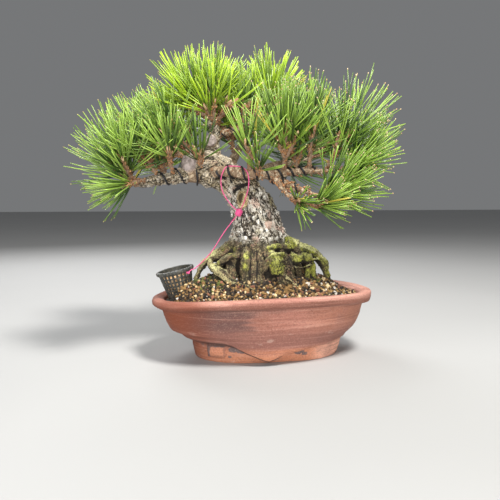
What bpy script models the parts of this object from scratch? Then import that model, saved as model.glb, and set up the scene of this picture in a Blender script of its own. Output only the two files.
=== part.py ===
"""A potted black pine bonsai: trunk, surface roots, boughs and needle masses in an oval clay pot.

Metres, +Z up. The origin is the middle of the pot's flat underside, the pot's long side runs
along X, and the front of the tree faces -Y.
"""

import math
import random

import bmesh
import bpy
import numpy as np
from mathutils import Matrix, Vector

GAP = 0.0003
GOLDEN = math.radians(137.508)

# Pot: half length and half width of each level, from the underside out, over the lip and in
POT_SIDES = 40
POT_SQUARENESS = 2.2
POT_FOOT = (0.0660, 0.0430)
POT_FOOT_TOP = (0.0705, 0.0470)
POT_EDGE = (0.0780, 0.0535)
POT_BULGE = (0.0895, 0.0595)
POT_BELLY = (0.0950, 0.0620)
POT_NECK = (0.0980, 0.0637)
POT_LIP_UNDER = (0.1040, 0.0675)
POT_LIP = (0.1065, 0.0700)
POT_LIP_TOP = (0.1020, 0.0655)
POT_MOUTH = (0.0955, 0.0595)
POT_WALL = (0.0860, 0.0535)
POT_HOLLOW = (0.0690, 0.0445)
POT_FLOOR = (0.0580, 0.0360)
FLOOR_HEIGHT = 0.0130
HOLLOW_HEIGHT = 0.0220
WALL_HEIGHT = 0.0400
BULGE_HEIGHT = 0.0270
BELLY_HEIGHT = 0.0380
NECK_HEIGHT = 0.0480
EDGE_HEIGHT = 0.0178
EDGE_TILT = 0.0025
EDGE_ROLL = 0.0025
RIM_HEIGHT = 0.0604
RIM_WAVE = 0.0024
RIM_TILT = 0.0015
LIP_DEPTH = 0.0080
FOLD_DROP = 0.0140
FOLD_PLACES = (math.radians(-94), math.radians(86))
FOLD_LONG = math.radians(16)
FOLD_SHORT = math.radians(5)
HOLE_RADIUS = 0.0060
HOLE_OFFSET = 0.0300
BLOCK_PLACE = (-0.0510, -0.0320, 0.0120)
BLOCK_SIZE = (0.0150, 0.0060, 0.0140)
BLOCK_TURN = math.radians(-22)

# Soil: level in the middle, then down to just under the lip
GROUND = 0.0745
PLATEAU = 0.55
SOIL_RINGS = 6
SOIL_BELOW_RIM = 0.0040
SOIL_INSET = 0.0022

# Trunk: points up its middle with the radius there
TRUNK_SIDES = 16
TRUNK_DEPTH = 0.88
TRUNK_LOBES = 5
TRUNK_LOBE_SIZE = 0.09
TRUNK = (
    (-0.0040, 0.0010, GROUND, 0.0365),
    (-0.0048, 0.0010, 0.0865, 0.0300),
    (-0.0048, 0.0010, 0.1010, 0.0258),
    (-0.0068, 0.0015, 0.1165, 0.0238),
    (-0.0105, 0.0020, 0.1320, 0.0220),
    (-0.0145, 0.0030, 0.1455, 0.0202),
    (-0.0200, 0.0060, 0.1570, 0.0190),
    (-0.0290, 0.0110, 0.1670, 0.0175),
    (-0.0385, 0.0160, 0.1760, 0.0152),
    (-0.0475, 0.0200, 0.1840, 0.0120),
    (-0.0540, 0.0235, 0.1900, 0.0085),
)

# Roots: what carries them, sides, then points with the radius there
ROOTS = {
    "right_arch_root": ("trunk", 9, (
        (0.0100, -0.0030, 0.1020, 0.0090), (0.0330, -0.0070, 0.1000, 0.0074),
        (0.0470, -0.0100, 0.0955, 0.0058), (0.0570, -0.0120, 0.0865, 0.0044),
        (0.0625, -0.0115, 0.0690, 0.0035))),
    "right_strand_root": ("right_arch_root", 7, (
        (0.0440, -0.0110, 0.0950, 0.0028), (0.0455, -0.0150, 0.0830, 0.0029),
        (0.0460, -0.0185, 0.0660, 0.0034))),
    "right_back_root": ("trunk", 7, (
        (0.0180, 0.0080, 0.0900, 0.0075), (0.0320, 0.0170, 0.0850, 0.0060),
        (0.0450, 0.0240, 0.0760, 0.0046), (0.0500, 0.0260, 0.0680, 0.0036))),
    "left_root": ("trunk", 9, (
        (-0.0200, -0.0010, 0.1030, 0.0092), (-0.0400, -0.0020, 0.0965, 0.0068),
        (-0.0520, -0.0012, 0.0915, 0.0048), (-0.0600, 0.0006, 0.0850, 0.0034),
        (-0.0660, 0.0018, 0.0720, 0.0026))),
    "left_loop_root": ("left_root", 7, (
        (-0.0520, -0.0030, 0.0910, 0.0027), (-0.0525, -0.0120, 0.0860, 0.0030),
        (-0.0470, -0.0190, 0.0800, 0.0038), (-0.0400, -0.0250, 0.0745, 0.0034),
        (-0.0320, -0.0300, 0.0690, 0.0024))),
    "front_root": ("trunk", 9, (
        (-0.0050, -0.0160, 0.0960, 0.0070), (0.0020, -0.0290, 0.0945, 0.0062),
        (0.0065, -0.0340, 0.0860, 0.0048), (0.0085, -0.0370, 0.0700, 0.0042))),
    "front_left_root": ("trunk", 8, (
        (-0.0190, -0.0150, 0.1000, 0.0060), (-0.0225, -0.0250, 0.0905, 0.0048),
        (-0.0245, -0.0290, 0.0690, 0.0044))),
    "back_root": ("trunk", 8, (
        (-0.0150, 0.0150, 0.0960, 0.0075), (-0.0220, 0.0290, 0.0890, 0.0062),
        (-0.0290, 0.0380, 0.0800, 0.0048), (-0.0330, 0.0420, 0.0660, 0.0040))),
}

# Boughs: what carries them, sides, then points with the radius there
BOUGHS = {
    "left_bough": (("trunk",), 10, (
        (-0.0340, 0.0095, 0.1650, 0.0110), (-0.0520, 0.0080, 0.1700, 0.0097),
        (-0.0695, 0.0066, 0.1720, 0.0080), (-0.0865, 0.0062, 0.1692, 0.0060),
        (-0.1030, 0.0064, 0.1662, 0.0044), (-0.1170, 0.0066, 0.1620, 0.0028))),
    "apex_stem": (("trunk",), 8, (
        (-0.0445, 0.0195, 0.1860, 0.0080), (-0.0465, 0.0180, 0.2020, 0.0066),
        (-0.0435, 0.0155, 0.2115, 0.0052), (-0.0475, 0.0162, 0.2220, 0.0040),
        (-0.0478, 0.0155, 0.2310, 0.0028))),
    "right_bough": (("trunk", "left_bough"), 9, (
        (-0.0480, 0.0020, 0.1740, 0.0048), (-0.0365, -0.0130, 0.1740, 0.0048),
        (-0.0170, -0.0195, 0.1715, 0.0046), (0.0040, -0.0200, 0.1715, 0.0040),
        (0.0300, -0.0218, 0.1745, 0.0031), (0.0540, -0.0238, 0.1748, 0.0025),
        (0.0720, -0.0258, 0.1755, 0.0020))),
    "right_low_bough": (("right_bough",), 8, (
        (0.0010, -0.0200, 0.1695, 0.0036), (0.0125, -0.0240, 0.1635, 0.0033),
        (0.0245, -0.0277, 0.1588, 0.0029), (0.0390, -0.0308, 0.1532, 0.0021))),
    "thin_low_bough": (("right_bough", "right_low_bough"), 6, (
        (0.0020, -0.0215, 0.1695, 0.0023), (0.0055, -0.0298, 0.1655, 0.0022),
        (0.0105, -0.0328, 0.1585, 0.0021), (0.0180, -0.0350, 0.1500, 0.0020),
        (0.0285, -0.0367, 0.1450, 0.0016))),
    "crown_twig": (("apex_stem",), 7, (
        (-0.0445, 0.0162, 0.2090, 0.0032), (-0.0200, 0.0145, 0.2170, 0.0029),
        (-0.0055, 0.0135, 0.2230, 0.0026), (0.0050, 0.0130, 0.2290, 0.0021))),
    "left_upper_twig": (("left_bough",), 7, (
        (-0.0620, 0.0090, 0.1720, 0.0035), (-0.0670, 0.0102, 0.1870, 0.0028),
        (-0.0718, 0.0091, 0.1965, 0.0022))),
    "back_right_bough": (("trunk",), 8, (
        (-0.0140, 0.0120, 0.1660, 0.0062), (0.0120, 0.0300, 0.1790, 0.0051),
        (0.0380, 0.0420, 0.1865, 0.0040), (0.0600, 0.0500, 0.1915, 0.0025))),
    "back_bough": (("trunk", "back_right_bough"), 8, (
        (-0.0300, 0.0200, 0.1760, 0.0060), (-0.0205, 0.0440, 0.1900, 0.0047),
        (-0.0120, 0.0610, 0.2010, 0.0036), (-0.0060, 0.0730, 0.2080, 0.0025))),
    "back_left_bough": (("trunk", "left_bough", "back_bough"), 8, (
        (-0.0500, 0.0230, 0.1800, 0.0050), (-0.0630, 0.0440, 0.1885, 0.0041),
        (-0.0770, 0.0620, 0.1955, 0.0031), (-0.0880, 0.0750, 0.1985, 0.0022))),
}

# Needle masses: bough, how far along it, heading and rise in degrees, stalk, shoots, spread,
# needle length
MASSES = {
    "crown_top": ("apex_stem", 1.00, -12, 86, 0.006, 4, 39, 0.050),
    "crown_left": ("apex_stem", 0.93, 172, 40, 0.011, 4, 38, 0.050),
    "crown_right_side": ("apex_stem", 0.84, -30, 45, 0.012, 3, 33, 0.046),
    "crown_front": ("apex_stem", 0.74, -104, 40, 0.011, 2, 30, 0.042),
    "crown_back": ("apex_stem", 0.68, 84, 42, 0.016, 4, 43, 0.050),
    "crown_right": ("crown_twig", 1.00, -18, 78, 0.008, 3, 38, 0.046),
    "crown_right_middle": ("crown_twig", 0.60, -30, 80, 0.006, 3, 31, 0.048),
    "crown_right_back": ("crown_twig", 0.80, 66, 40, 0.014, 4, 39, 0.048),
    "left_upper": ("left_upper_twig", 1.00, 172, 44, 0.016, 3, 32, 0.048),
    "left_shoulder": ("left_upper_twig", 0.60, 200, 34, 0.026, 3, 27, 0.046),
    "left_upper_back": ("left_upper_twig", 0.84, 118, 42, 0.020, 4, 37, 0.048),
    "left_tip_upper": ("left_bough", 0.80, 165, 58, 0.018, 3, 32, 0.050),
    "left_tip": ("left_bough", 1.00, 178, 52, 0.022, 4, 47, 0.052),
    "left_low": ("left_bough", 0.94, 186, -14, 0.010, 2, 34, 0.041),
    "left_front": ("left_bough", 0.62, -112, 46, 0.012, 2, 30, 0.042),
    "left_back": ("left_bough", 0.70, 104, 40, 0.018, 4, 35, 0.046),
    "right_inner": ("right_bough", 0.56, -96, 76, 0.026, 4, 31, 0.050),
    "right_upper": ("right_bough", 0.74, -82, 82, 0.027, 3, 26, 0.050),
    "right_far_upper": ("right_bough", 0.88, -14, 52, 0.026, 3, 24, 0.058),
    "right_outer": ("right_bough", 1.00, -20, 44, 0.009, 4, 34, 0.046),
    "right_outer_low": ("right_bough", 0.94, -40, 4, 0.007, 2, 26, 0.042),
    "right_behind": ("right_bough", 0.66, 74, 52, 0.024, 4, 35, 0.048),
    "right_low_outer": ("right_low_bough", 1.00, -18, 0, 0.014, 4, 31, 0.048),
    "right_low_front": ("thin_low_bough", 1.00, -26, -2, 0.010, 3, 26, 0.034),
    "right_low_inner": ("thin_low_bough", 0.78, -84, -14, 0.006, 2, 24, 0.026),
    "front_low": ("right_bough", 0.36, -104, 4, 0.005, 1, 20, 0.032),
    "front_middle": ("right_bough", 0.30, -106, 60, 0.012, 2, 30, 0.044),
    "front_left": ("left_bough", 0.34, -112, 44, 0.007, 2, 30, 0.042),
    "back_middle": ("back_bough", 1.00, 88, 44, 0.014, 5, 45, 0.050),
    "back_upper": ("back_bough", 0.55, 96, 72, 0.024, 4, 37, 0.050),
    "back_right": ("back_right_bough", 1.00, 20, 36, 0.016, 5, 43, 0.050),
    "back_low_right": ("back_right_bough", 0.66, 50, 2, 0.014, 4, 37, 0.046),
    "back_left": ("back_left_bough", 1.00, 134, 34, 0.014, 5, 45, 0.050),
    "back_low_left": ("back_left_bough", 0.66, 106, 10, 0.012, 4, 35, 0.044),
}

# Shoots and needles of every mass
SEED = 4240
STEM_RADIUS = 0.0015
STEM_SEAT = 0.0030
TWIG_RADIUS = 0.0011
SHOOT_SIDES = 5
SHOOT_PROFILE = ((0.0, 0.0011), (0.0027, 0.0017), (0.0057, 0.0017), (0.0088, 0.0010))
SHOOT_LEANS = (60, 42, 22, 4)
SHOOT_LENGTH = 0.0090
SHOOT_RADIUS = 0.0016
SHOOT_CLEAR = 0.0045
SHOOT_LIFT = 0.22
NEEDLE_RADIUS = 0.0009
NEEDLE_LIFT = 0.08
NEEDLE_SWAY = 6
NEEDLE_LENGTHS = (0.82, 1.04)
TWIG_LENGTHS = (0.85, 1.25)
HANGING_RISE = -10
CENTRE_SHARE = 0.45
NEEDLE_PARTS = (1.0, 0.88, 0.76, 0.64, 0.55)
FORK_SHARE = 0.5
FORK_STEP = 0.22
SPACE_SIZE = 0.022
SPACE_PER_SHOOT = 0.003
SPACE_MARGIN = 0.0014
LIMB_MARGIN = 0.0014

# Feeding basket, standing in the soil at the left end, with its pellets
BASKET_PLACE = (-0.0800, -0.0010, 0.0590)
BASKET_LEAN = math.radians(-11)
BASKET_SIDES = 24
BASKET_HEIGHT = 0.0250
BASKET_FOOT = 0.0120
BASKET_TOP = 0.0160
BASKET_RIM = 0.0178
BASKET_RIM_HEIGHT = 0.0028
BASKET_WALL = 0.0013
PELLET_FILL = 0.0200

# Elastic tie: loop over the right bough, a bead, and a tail down to the basket
TIE_RADIUS = 0.00055
TIE_SIDES = 4
BEAD_RADIUS = 0.0034
BEAD = (-0.0275, -0.0185, 0.1362)
TIE_LOOP = (
    (-0.0285, -0.0190, 0.1375), (-0.0360, -0.0180, 0.1450), (-0.0425, -0.0170, 0.1560),
    (-0.0435, -0.0165, 0.1680), (-0.0395, -0.0175, 0.1773), (-0.0330, -0.0165, 0.1787),
    (-0.0245, -0.0195, 0.1776), (-0.0205, -0.0258, 0.1715), (-0.0195, -0.0245, 0.1600),
    (-0.0225, -0.0205, 0.1470), (-0.0265, -0.0188, 0.1375),
)
TIE_TAIL = (
    (-0.0275, -0.0188, 0.1360), (-0.0410, -0.0165, 0.1180), (-0.0530, -0.0135, 0.0990),
    (-0.0660, -0.0100, 0.0855),
)


def clearScene():
    for item in list(bpy.data.objects):
        bpy.data.objects.remove(item)


def makeMaterial(name, colour, roughness, metallic=0.0):
    material = bpy.data.materials.new(name)
    material.use_nodes = True
    shader = material.node_tree.nodes["Principled BSDF"]
    shader.inputs["Base Color"].default_value = (*colour, 1.0)
    shader.inputs["Roughness"].default_value = roughness
    shader.inputs["Metallic"].default_value = metallic
    return material


def makeObject(name, points, faces, material=None, collection=None):
    mesh = bpy.data.meshes.new(name)
    mesh.from_pydata([tuple(p) for p in points], [], faces)
    mesh.update()
    item = bpy.data.objects.new(name, mesh)
    (collection or bpy.context.scene.collection).objects.link(item)
    if material:
        mesh.materials.append(material)
    return item


def makeCutter(item):
    item.hide_render = True
    item.display_type = "WIRE"
    return item


def outward(item):
    shape = bmesh.new()
    shape.from_mesh(item.data)
    bmesh.ops.recalc_face_normals(shape, faces=shape.faces)
    if shape.calc_volume(signed=True) < 0:
        bmesh.ops.reverse_faces(shape, faces=shape.faces)
    shape.to_mesh(item.data)
    shape.free()


def applyBoolean(item, operation, other, solver="EXACT"):
    """Applies a Boolean with one object or with a collection of objects."""
    step = item.modifiers.new("join", "BOOLEAN")
    step.operation = operation
    step.solver = solver
    if isinstance(other, bpy.types.Collection):
        step.operand_type = "COLLECTION"
        step.collection = other
    else:
        step.object = other
    graph = bpy.context.evaluated_depsgraph_get()
    result = bpy.data.meshes.new_from_object(item.evaluated_get(graph))
    item.modifiers.clear()
    old = item.data
    item.data = result
    bpy.data.meshes.remove(old)


def keepLargestBody(item):
    """Drops loose scraps and the inner skins of sealed hollows."""
    shape = bmesh.new()
    shape.from_mesh(item.data)
    bmesh.ops.triangulate(shape, faces=shape.faces)
    seen = set()
    bodies = []
    for start in shape.faces:
        if start in seen:
            continue
        seen.add(start)
        body = [start]
        for face in body:
            links = [edge.link_faces for edge in face.edges if len(edge.link_faces) == 2]
            for other in {other for pair in links for other in pair} - seen:
                seen.add(other)
                body.append(other)
        bodies.append(body)
    bodies.sort(key=lambda body: -sum(face.calc_area() for face in body))
    spare = [face for body in bodies[1:] for face in body]
    bmesh.ops.delete(shape, geom=spare, context="FACES")
    loose = [vert for vert in shape.verts if not vert.link_faces]
    bmesh.ops.delete(shape, geom=loose, context="VERTS")
    shape.to_mesh(item.data)
    shape.free()


def smoothShade(item, angle=math.radians(50)):
    item.data.shade_smooth()
    item.data.set_sharp_from_angle(angle=angle)


def smoothPath(points, steps=3):
    """A Catmull-Rom run through the points, each (x, y, z, radius)."""
    rows = [np.array(p, float) for p in points]
    rows = [2 * rows[0] - rows[1]] + rows + [2 * rows[-1] - rows[-2]]
    path = []
    for a, b, c, d in zip(rows, rows[1:], rows[2:], rows[3:]):
        for step in range(steps):
            t = step / steps
            path.append(0.5 * (2 * b + (c - a) * t + (2 * a - 5 * b + 4 * c - d) * t * t
                               + (3 * b - a - 3 * c + d) * t ** 3))
    path.append(rows[-2])
    return path


def tubeShape(path, sides, shapeAt=None, grow=0.0):
    """Points and faces of a closed tube along a path of (x, y, z, radius) rows."""
    middles = [Vector(row[:3]) for row in path]
    count = len(middles)
    across = Vector((0, 1, 0))
    points = []
    for i, middle in enumerate(middles):
        along = (middles[min(i + 1, count - 1)] - middles[max(i - 1, 0)]).normalized()
        across = (across - along * across.dot(along)).normalized()
        third = along.cross(across)
        radius = path[i][3] + grow
        for side in range(sides):
            turn = 2 * math.pi * side / sides
            wide = radius * (shapeAt(i / (count - 1), turn) if shapeAt else 1.0)
            points.append(middle + (across * math.cos(turn) + third * math.sin(turn)) * wide)
    faces = []
    for i in range(count - 1):
        for side in range(sides):
            a = i * sides + side
            b = i * sides + (side + 1) % sides
            faces += [(a, b, b + sides), (a, b + sides, a + sides)]
    faces.append(tuple(reversed(range(sides))))
    faces.append(tuple(range((count - 1) * sides, count * sides)))
    return points, faces


def makeTube(name, points, sides, material=None, grow=0.0, steps=3, collection=None):
    item = makeObject(name, *tubeShape(smoothPath(points, steps), sides, None, grow),
                      material, collection)
    outward(item)
    return item


def ovalPoint(turn, half, height):
    """A point of a rounded oblong of these half sizes, at this height."""
    power = 2 / POT_SQUARENESS
    c, s = math.cos(turn), math.sin(turn)
    return Vector((half[0] * math.copysign(abs(c) ** power, c),
                   half[1] * math.copysign(abs(s) ** power, s), height))


def rimHeight(turn):
    return RIM_HEIGHT - RIM_WAVE * math.cos(2 * turn) + RIM_TILT * math.cos(turn)


def edgeHeight(turn):
    """The lower edge of the pot's body: lower at the right, with a long fold front and back."""
    drop = 0.0
    for place in FOLD_PLACES:
        away = (turn - place + math.pi) % (2 * math.pi) - math.pi
        width = FOLD_LONG if away < 0 else FOLD_SHORT
        drop = max(drop, math.exp(-(away / width) ** 2))
    return EDGE_HEIGHT - EDGE_TILT * math.cos(turn) - FOLD_DROP * drop


def ringStack(levels, sides):
    """Points and faces of a closed body from rings, each a function of the turn."""
    points = [level(2 * math.pi * i / sides) for level in levels for i in range(sides)]
    faces = []
    for ring in range(len(levels) - 1):
        for i in range(sides):
            a = ring * sides + i
            b = ring * sides + (i + 1) % sides
            faces += [(a, b, b + sides), (a, b + sides, a + sides)]
    return points, faces


def closeRings(points, faces, sides, bottom, top):
    """Adds a middle point below the first ring and one over the last."""
    last = len(points) - sides
    points = points + [Vector(bottom), Vector(top)]
    for i in range(sides):
        j = (i + 1) % sides
        faces.append((j, i, len(points) - 2))
        faces.append((last + i, last + j, len(points) - 1))
    return points, faces


def makePot(material):
    def level(half, height):
        return lambda turn: ovalPoint(turn, half, height(turn) if callable(height) else height)

    levels = (
        level(POT_FOOT, 0.0),
        level(POT_FOOT_TOP, lambda turn: edgeHeight(turn) - EDGE_ROLL / 2),
        level(POT_EDGE, edgeHeight),
        level(POT_EDGE, lambda turn: edgeHeight(turn) + EDGE_ROLL),
        level(POT_BULGE, BULGE_HEIGHT),
        level(POT_BELLY, BELLY_HEIGHT),
        level(POT_NECK, NECK_HEIGHT),
        level(POT_LIP_UNDER, lambda turn: rimHeight(turn) - LIP_DEPTH),
        level(POT_LIP, lambda turn: rimHeight(turn) - LIP_DEPTH * 0.6),
        level(POT_LIP, lambda turn: rimHeight(turn) - LIP_DEPTH * 0.2),
        level(POT_LIP_TOP, rimHeight),
        level(POT_MOUTH, lambda turn: rimHeight(turn) - LIP_DEPTH * 0.2),
        level(POT_WALL, WALL_HEIGHT),
        level(POT_HOLLOW, HOLLOW_HEIGHT),
        level(POT_FLOOR, FLOOR_HEIGHT),
    )
    points, faces = ringStack(levels, POT_SIDES)
    points, faces = closeRings(points, faces, POT_SIDES, (0, 0, 0), (0, 0, FLOOR_HEIGHT))
    pot = makeObject("pot", points, faces, material)
    outward(pot)
    block = makeBlock()
    applyBoolean(pot, "UNION", block)
    bpy.data.objects.remove(block)
    for side in (-1, 1):
        hole = makeHole(side * HOLE_OFFSET)
        applyBoolean(pot, "DIFFERENCE", hole)
        bpy.data.objects.remove(hole)
    smoothShade(pot)
    return pot


def makeBlock():
    """The square pad of clay on the front left of the foot."""
    shape = bmesh.new()
    turned = Matrix.Rotation(BLOCK_TURN, 4, "Z")
    place = Matrix.Translation(BLOCK_PLACE) @ turned @ Matrix.Diagonal((*BLOCK_SIZE, 1))
    bmesh.ops.create_cube(shape, size=1.0, matrix=place)
    mesh = bpy.data.meshes.new("foot_block")
    shape.to_mesh(mesh)
    shape.free()
    block = bpy.data.objects.new("foot_block", mesh)
    bpy.context.scene.collection.objects.link(block)
    return makeCutter(block)


def makeHole(x):
    shape = bmesh.new()
    place = Matrix.Translation((x, 0, FLOOR_HEIGHT / 2))
    bmesh.ops.create_cone(shape, cap_ends=True, segments=16, radius1=HOLE_RADIUS,
                          radius2=HOLE_RADIUS, depth=FLOOR_HEIGHT * 2, matrix=place)
    mesh = bpy.data.meshes.new("drain_hole")
    shape.to_mesh(mesh)
    shape.free()
    hole = bpy.data.objects.new("drain_hole", mesh)
    bpy.context.scene.collection.objects.link(hole)
    return makeCutter(hole)


def soilRing(share, lift):
    """A ring of the soil's top: share 1 is at the pot's wall, 0 in the middle."""
    half = (POT_MOUTH[0] - SOIL_INSET, POT_MOUTH[1] - SOIL_INSET)
    slope = min((1 - share) / (1 - PLATEAU), 1.0)
    rise = slope * slope * (3 - 2 * slope)

    def place(turn):
        low = rimHeight(turn) - SOIL_BELOW_RIM
        height = low + (GROUND - GAP - low) * rise + lift
        return ovalPoint(turn, (half[0] * share, half[1] * share), height)

    return place


def makeSoil(material, lift=0.0):
    clear = GAP * 1.5

    def below(half, height):
        return lambda turn: ovalPoint(turn, (half[0] - clear, half[1] - clear), height + clear)

    shares = [1 - (1 - PLATEAU) * i / (SOIL_RINGS - 1) for i in range(SOIL_RINGS)]
    levels = [below(POT_FLOOR, FLOOR_HEIGHT), below(POT_HOLLOW, HOLLOW_HEIGHT),
              below(POT_WALL, WALL_HEIGHT)] + [soilRing(share, lift) for share in shares]
    points, faces = ringStack(levels, POT_SIDES)
    points, faces = closeRings(points, faces, POT_SIDES, (0, 0, FLOOR_HEIGHT + clear),
                               (0, 0, GROUND - GAP + lift))
    soil = makeObject("soil", points, faces, material)
    outward(soil)
    smoothShade(soil)
    return soil


def trunkShape(along, turn):
    """Flatter from front to back, with root lobes that fade up the trunk."""
    lobe = TRUNK_LOBE_SIZE * max(0.0, 1 - along * 5) * math.cos(TRUNK_LOBES * turn + 0.8)
    return (1 + lobe) * math.hypot(TRUNK_DEPTH * math.cos(turn), math.sin(turn))


def makeTrunk(material, grow=0.0):
    """The trunk stands on a flat cut at ground level, so its lowest ring is levelled."""
    path = smoothPath(TRUNK, 2)
    points, faces = tubeShape(path, TRUNK_SIDES, trunkShape, grow)
    for point in points[:TRUNK_SIDES]:
        point.z = GROUND
    trunk = makeObject("trunk", points, faces, material)
    outward(trunk)
    return trunk


def growLimbs(material, soilCutter):
    """Every root and bough starts inside what carries it, and is cut back 0.3 mm clear of it."""
    limbs = {"trunk": makeTrunk(material)}
    cutters = {"trunk": makeCutter(makeTrunk(None, GAP))}
    plans = [(name, (carrier,), sides, points, True)
             for name, (carrier, sides, points) in ROOTS.items()]
    plans += [(name, carriers, sides, points, False)
              for name, (carriers, sides, points) in BOUGHS.items()]
    for name, carriers, sides, points, isRoot in plans:
        limb = makeTube(name, points, sides, material)
        for carrier in carriers:
            applyBoolean(limb, "DIFFERENCE", cutters[carrier])
        if isRoot:
            if carriers != ("trunk",):
                applyBoolean(limb, "DIFFERENCE", cutters["trunk"])
            applyBoolean(limb, "DIFFERENCE", soilCutter)
        keepLargestBody(limb)
        smoothShade(limb)
        limbs[name] = limb
        cutters[name] = makeCutter(makeTube(name + "_clear", points, sides, None, GAP))
    for cutter in cutters.values():
        bpy.data.objects.remove(cutter)
    smoothShade(limbs["trunk"])
    return limbs


def limbPaths():
    """The middle line and radius of the trunk, each root and each bough."""
    paths = {"trunk": smoothPath(TRUNK, 2)}
    paths.update({name: smoothPath(points) for name, (_, _, points) in ROOTS.items()})
    paths.update({name: smoothPath(points) for name, (_, _, points) in BOUGHS.items()})
    return paths


def placeOn(path, share):
    """Middle, direction and radius at this share of a limb's length."""
    lengths = [np.linalg.norm(b[:3] - a[:3]) for a, b in zip(path, path[1:])]
    left = share * sum(lengths)
    for a, b, length in zip(path, path[1:], lengths):
        if left <= length:
            row = a + (b - a) * (left / length)
            return Vector(row[:3]), Vector(b[:3] - a[:3]).normalized(), row[3]
        left -= length
    return Vector(path[-1][:3]), Vector(path[-1][:3] - path[-2][:3]).normalized(), path[-1][3]


def heading(azimuth, rise):
    flat = math.cos(math.radians(rise))
    return Vector((flat * math.cos(math.radians(azimuth)), flat * math.sin(math.radians(azimuth)),
                   math.sin(math.radians(rise))))


def fanned(axis, lean, turn, lift):
    """A direction that leans away from the axis, turned round it, and lifted a little."""
    side = axis.orthogonal().normalized()
    other = axis.cross(side)
    out = side * math.cos(turn) + other * math.sin(turn)
    return (axis * math.cos(lean) + out * math.sin(lean) + Vector((0, 0, lift))).normalized()


def planMass(name, path, number):
    """Where the stem, twigs and shoots of one mass go, and how its needles lean."""
    bough, share, azimuth, rise, stalk, shoots, spread, needle = MASSES[name]
    chance = random.Random(SEED + number)
    middle, along, radius = placeOn(path, share)
    axis = heading(azimuth, rise)
    if share == 1.0:
        out, start = along, middle + along * GAP
    else:
        out = (axis - along * axis.dot(along)).normalized()
        start = middle + out * (radius + GAP * 1.5)
    seat = start + out * STEM_SEAT
    plan = {"name": name, "stem": (start, seat)}
    plan["centre"] = seat + axis * (stalk + needle * CENTRE_SHARE)
    plan["weight"] = (SPACE_SIZE + SPACE_PER_SHOOT * shoots) ** 2
    plan["shoots"] = []
    phase = chance.uniform(0, 2 * math.pi)
    for i in range(shoots):
        lean = math.radians(spread) * math.sqrt((i + 0.5) / shoots)
        way = fanned(axis, lean, phase + GOLDEN * i, SHOOT_LIFT * 0.5)
        fork = seat + axis * stalk * FORK_SHARE * (1 - FORK_STEP * i)
        start = fork + way * stalk * (1 - FORK_SHARE) * chance.uniform(*TWIG_LENGTHS)
        grown = fanned(way, 0.0, 0.0, SHOOT_LIFT if rise > HANGING_RISE else 0.0)
        needles = [(math.radians(chance.uniform(-NEEDLE_SWAY, NEEDLE_SWAY)),
                    math.radians(chance.uniform(-NEEDLE_SWAY, NEEDLE_SWAY)) * 2,
                    needle * chance.uniform(*NEEDLE_LENGTHS))
                   for _ in range(SHOOT_SIDES * len(SHOOT_LEANS))]
        plan["shoots"].append({"fork": fork, "start": start, "way": grown,
                               "tip": start + grown * SHOOT_LENGTH, "needles": needles})
    return plan


def gapsToCapsules(a, b, capsules):
    """Least clearance from the segment a-b to rows of (ax, ay, az, bx, by, bz, radius)."""
    steps = np.linspace(0, 1, 9)[:, None]
    here = np.array(a)[None, :] + (np.array(b) - np.array(a))[None, :] * steps
    start, end = capsules[:, :3], capsules[:, 3:6]
    along = end - start
    size = np.maximum((along ** 2).sum(1), 1e-12)
    t = np.clip(((here[:, None, :] - start[None]) * along[None]).sum(2) / size, 0, 1)
    near = start[None] + along[None] * t[:, :, None]
    return (np.linalg.norm(here[:, None, :] - near, axis=2) - capsules[:, 6][None]).min()


def capsuleRows(path):
    return [(*a[:3], *b[:3], max(a[3], b[3])) for a, b in zip(path, path[1:])]


def spaceLeft(point, plan, plans):
    """How far a point lies inside a mass's own space, whose walls are planes between masses."""
    least = 1.0
    for other in plans:
        if other is plan:
            continue
        between = other["centre"] - plan["centre"]
        gap = between.length
        wall = (gap * gap + plan["weight"] - other["weight"]) / (2 * gap)
        least = min(least, wall - (point - plan["centre"]).dot(between) / gap)
    return least


def needleTip(root, way, length, plan, plans, blocked):
    """Where a needle ends, shortened to stay in its mass's space and clear of every limb."""
    for part in NEEDLE_PARTS:
        tip = root + way * length * part
        inside = spaceLeft(tip, plan, plans) > SPACE_MARGIN
        clear = gapsToCapsules(root + way * SHOOT_CLEAR, tip, blocked) > LIMB_MARGIN
        if inside and clear:
            return tip
    return None


def makeShoot(name, run, shoot, plan, plans, blocked, material=None, collection=None):
    """A twig ending in a core, whose side faces are drawn out into needles that splay less and less."""
    way, start = shoot["way"], shoot["start"]
    path = run + [(*(start + way * up), radius) for up, radius in SHOOT_PROFILE]
    points, _ = tubeShape(path, SHOOT_SIDES)
    last = len(path) - 1
    first = len(run)
    faces = [tuple(reversed(range(SHOOT_SIDES)))]
    grown = []
    for ring in range(last + 1):
        for i in range(SHOOT_SIDES if ring < last else 1):
            a = ring * SHOOT_SIDES + i
            b = ring * SHOOT_SIDES + (i + 1) % SHOOT_SIDES
            corners = (a, b, b + SHOOT_SIDES, a + SHOOT_SIDES)
            if ring == last:
                corners = tuple(range(a, a + SHOOT_SIDES))
            tip = None
            if ring >= first:
                lean, turn, length = shoot["needles"][(ring - first) * SHOOT_SIDES + i]
                root = sum((points[c] for c in corners), Vector()) / len(corners)
                out = (root - start) - way * (root - start).dot(way)
                out = Matrix.Rotation(turn, 3, way) @ out.normalized()
                lean += math.radians(SHOOT_LEANS[ring - first])
                grow = way * math.cos(lean) + out * math.sin(lean) + Vector((0, 0, NEEDLE_LIFT))
                tip = needleTip(root, grow.normalized(), length, plan, plans, blocked)
            if tip is None:
                faces.append(corners)
            else:
                points.append(tip)
                ends = corners[1:] + corners[:1]
                faces += [(c, d, len(points) - 1) for c, d in zip(corners, ends)]
                grown.append((*root, *tip, NEEDLE_RADIUS))
    item = makeObject(name, points, faces, material, collection)
    outward(item)
    return item, grown


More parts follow.
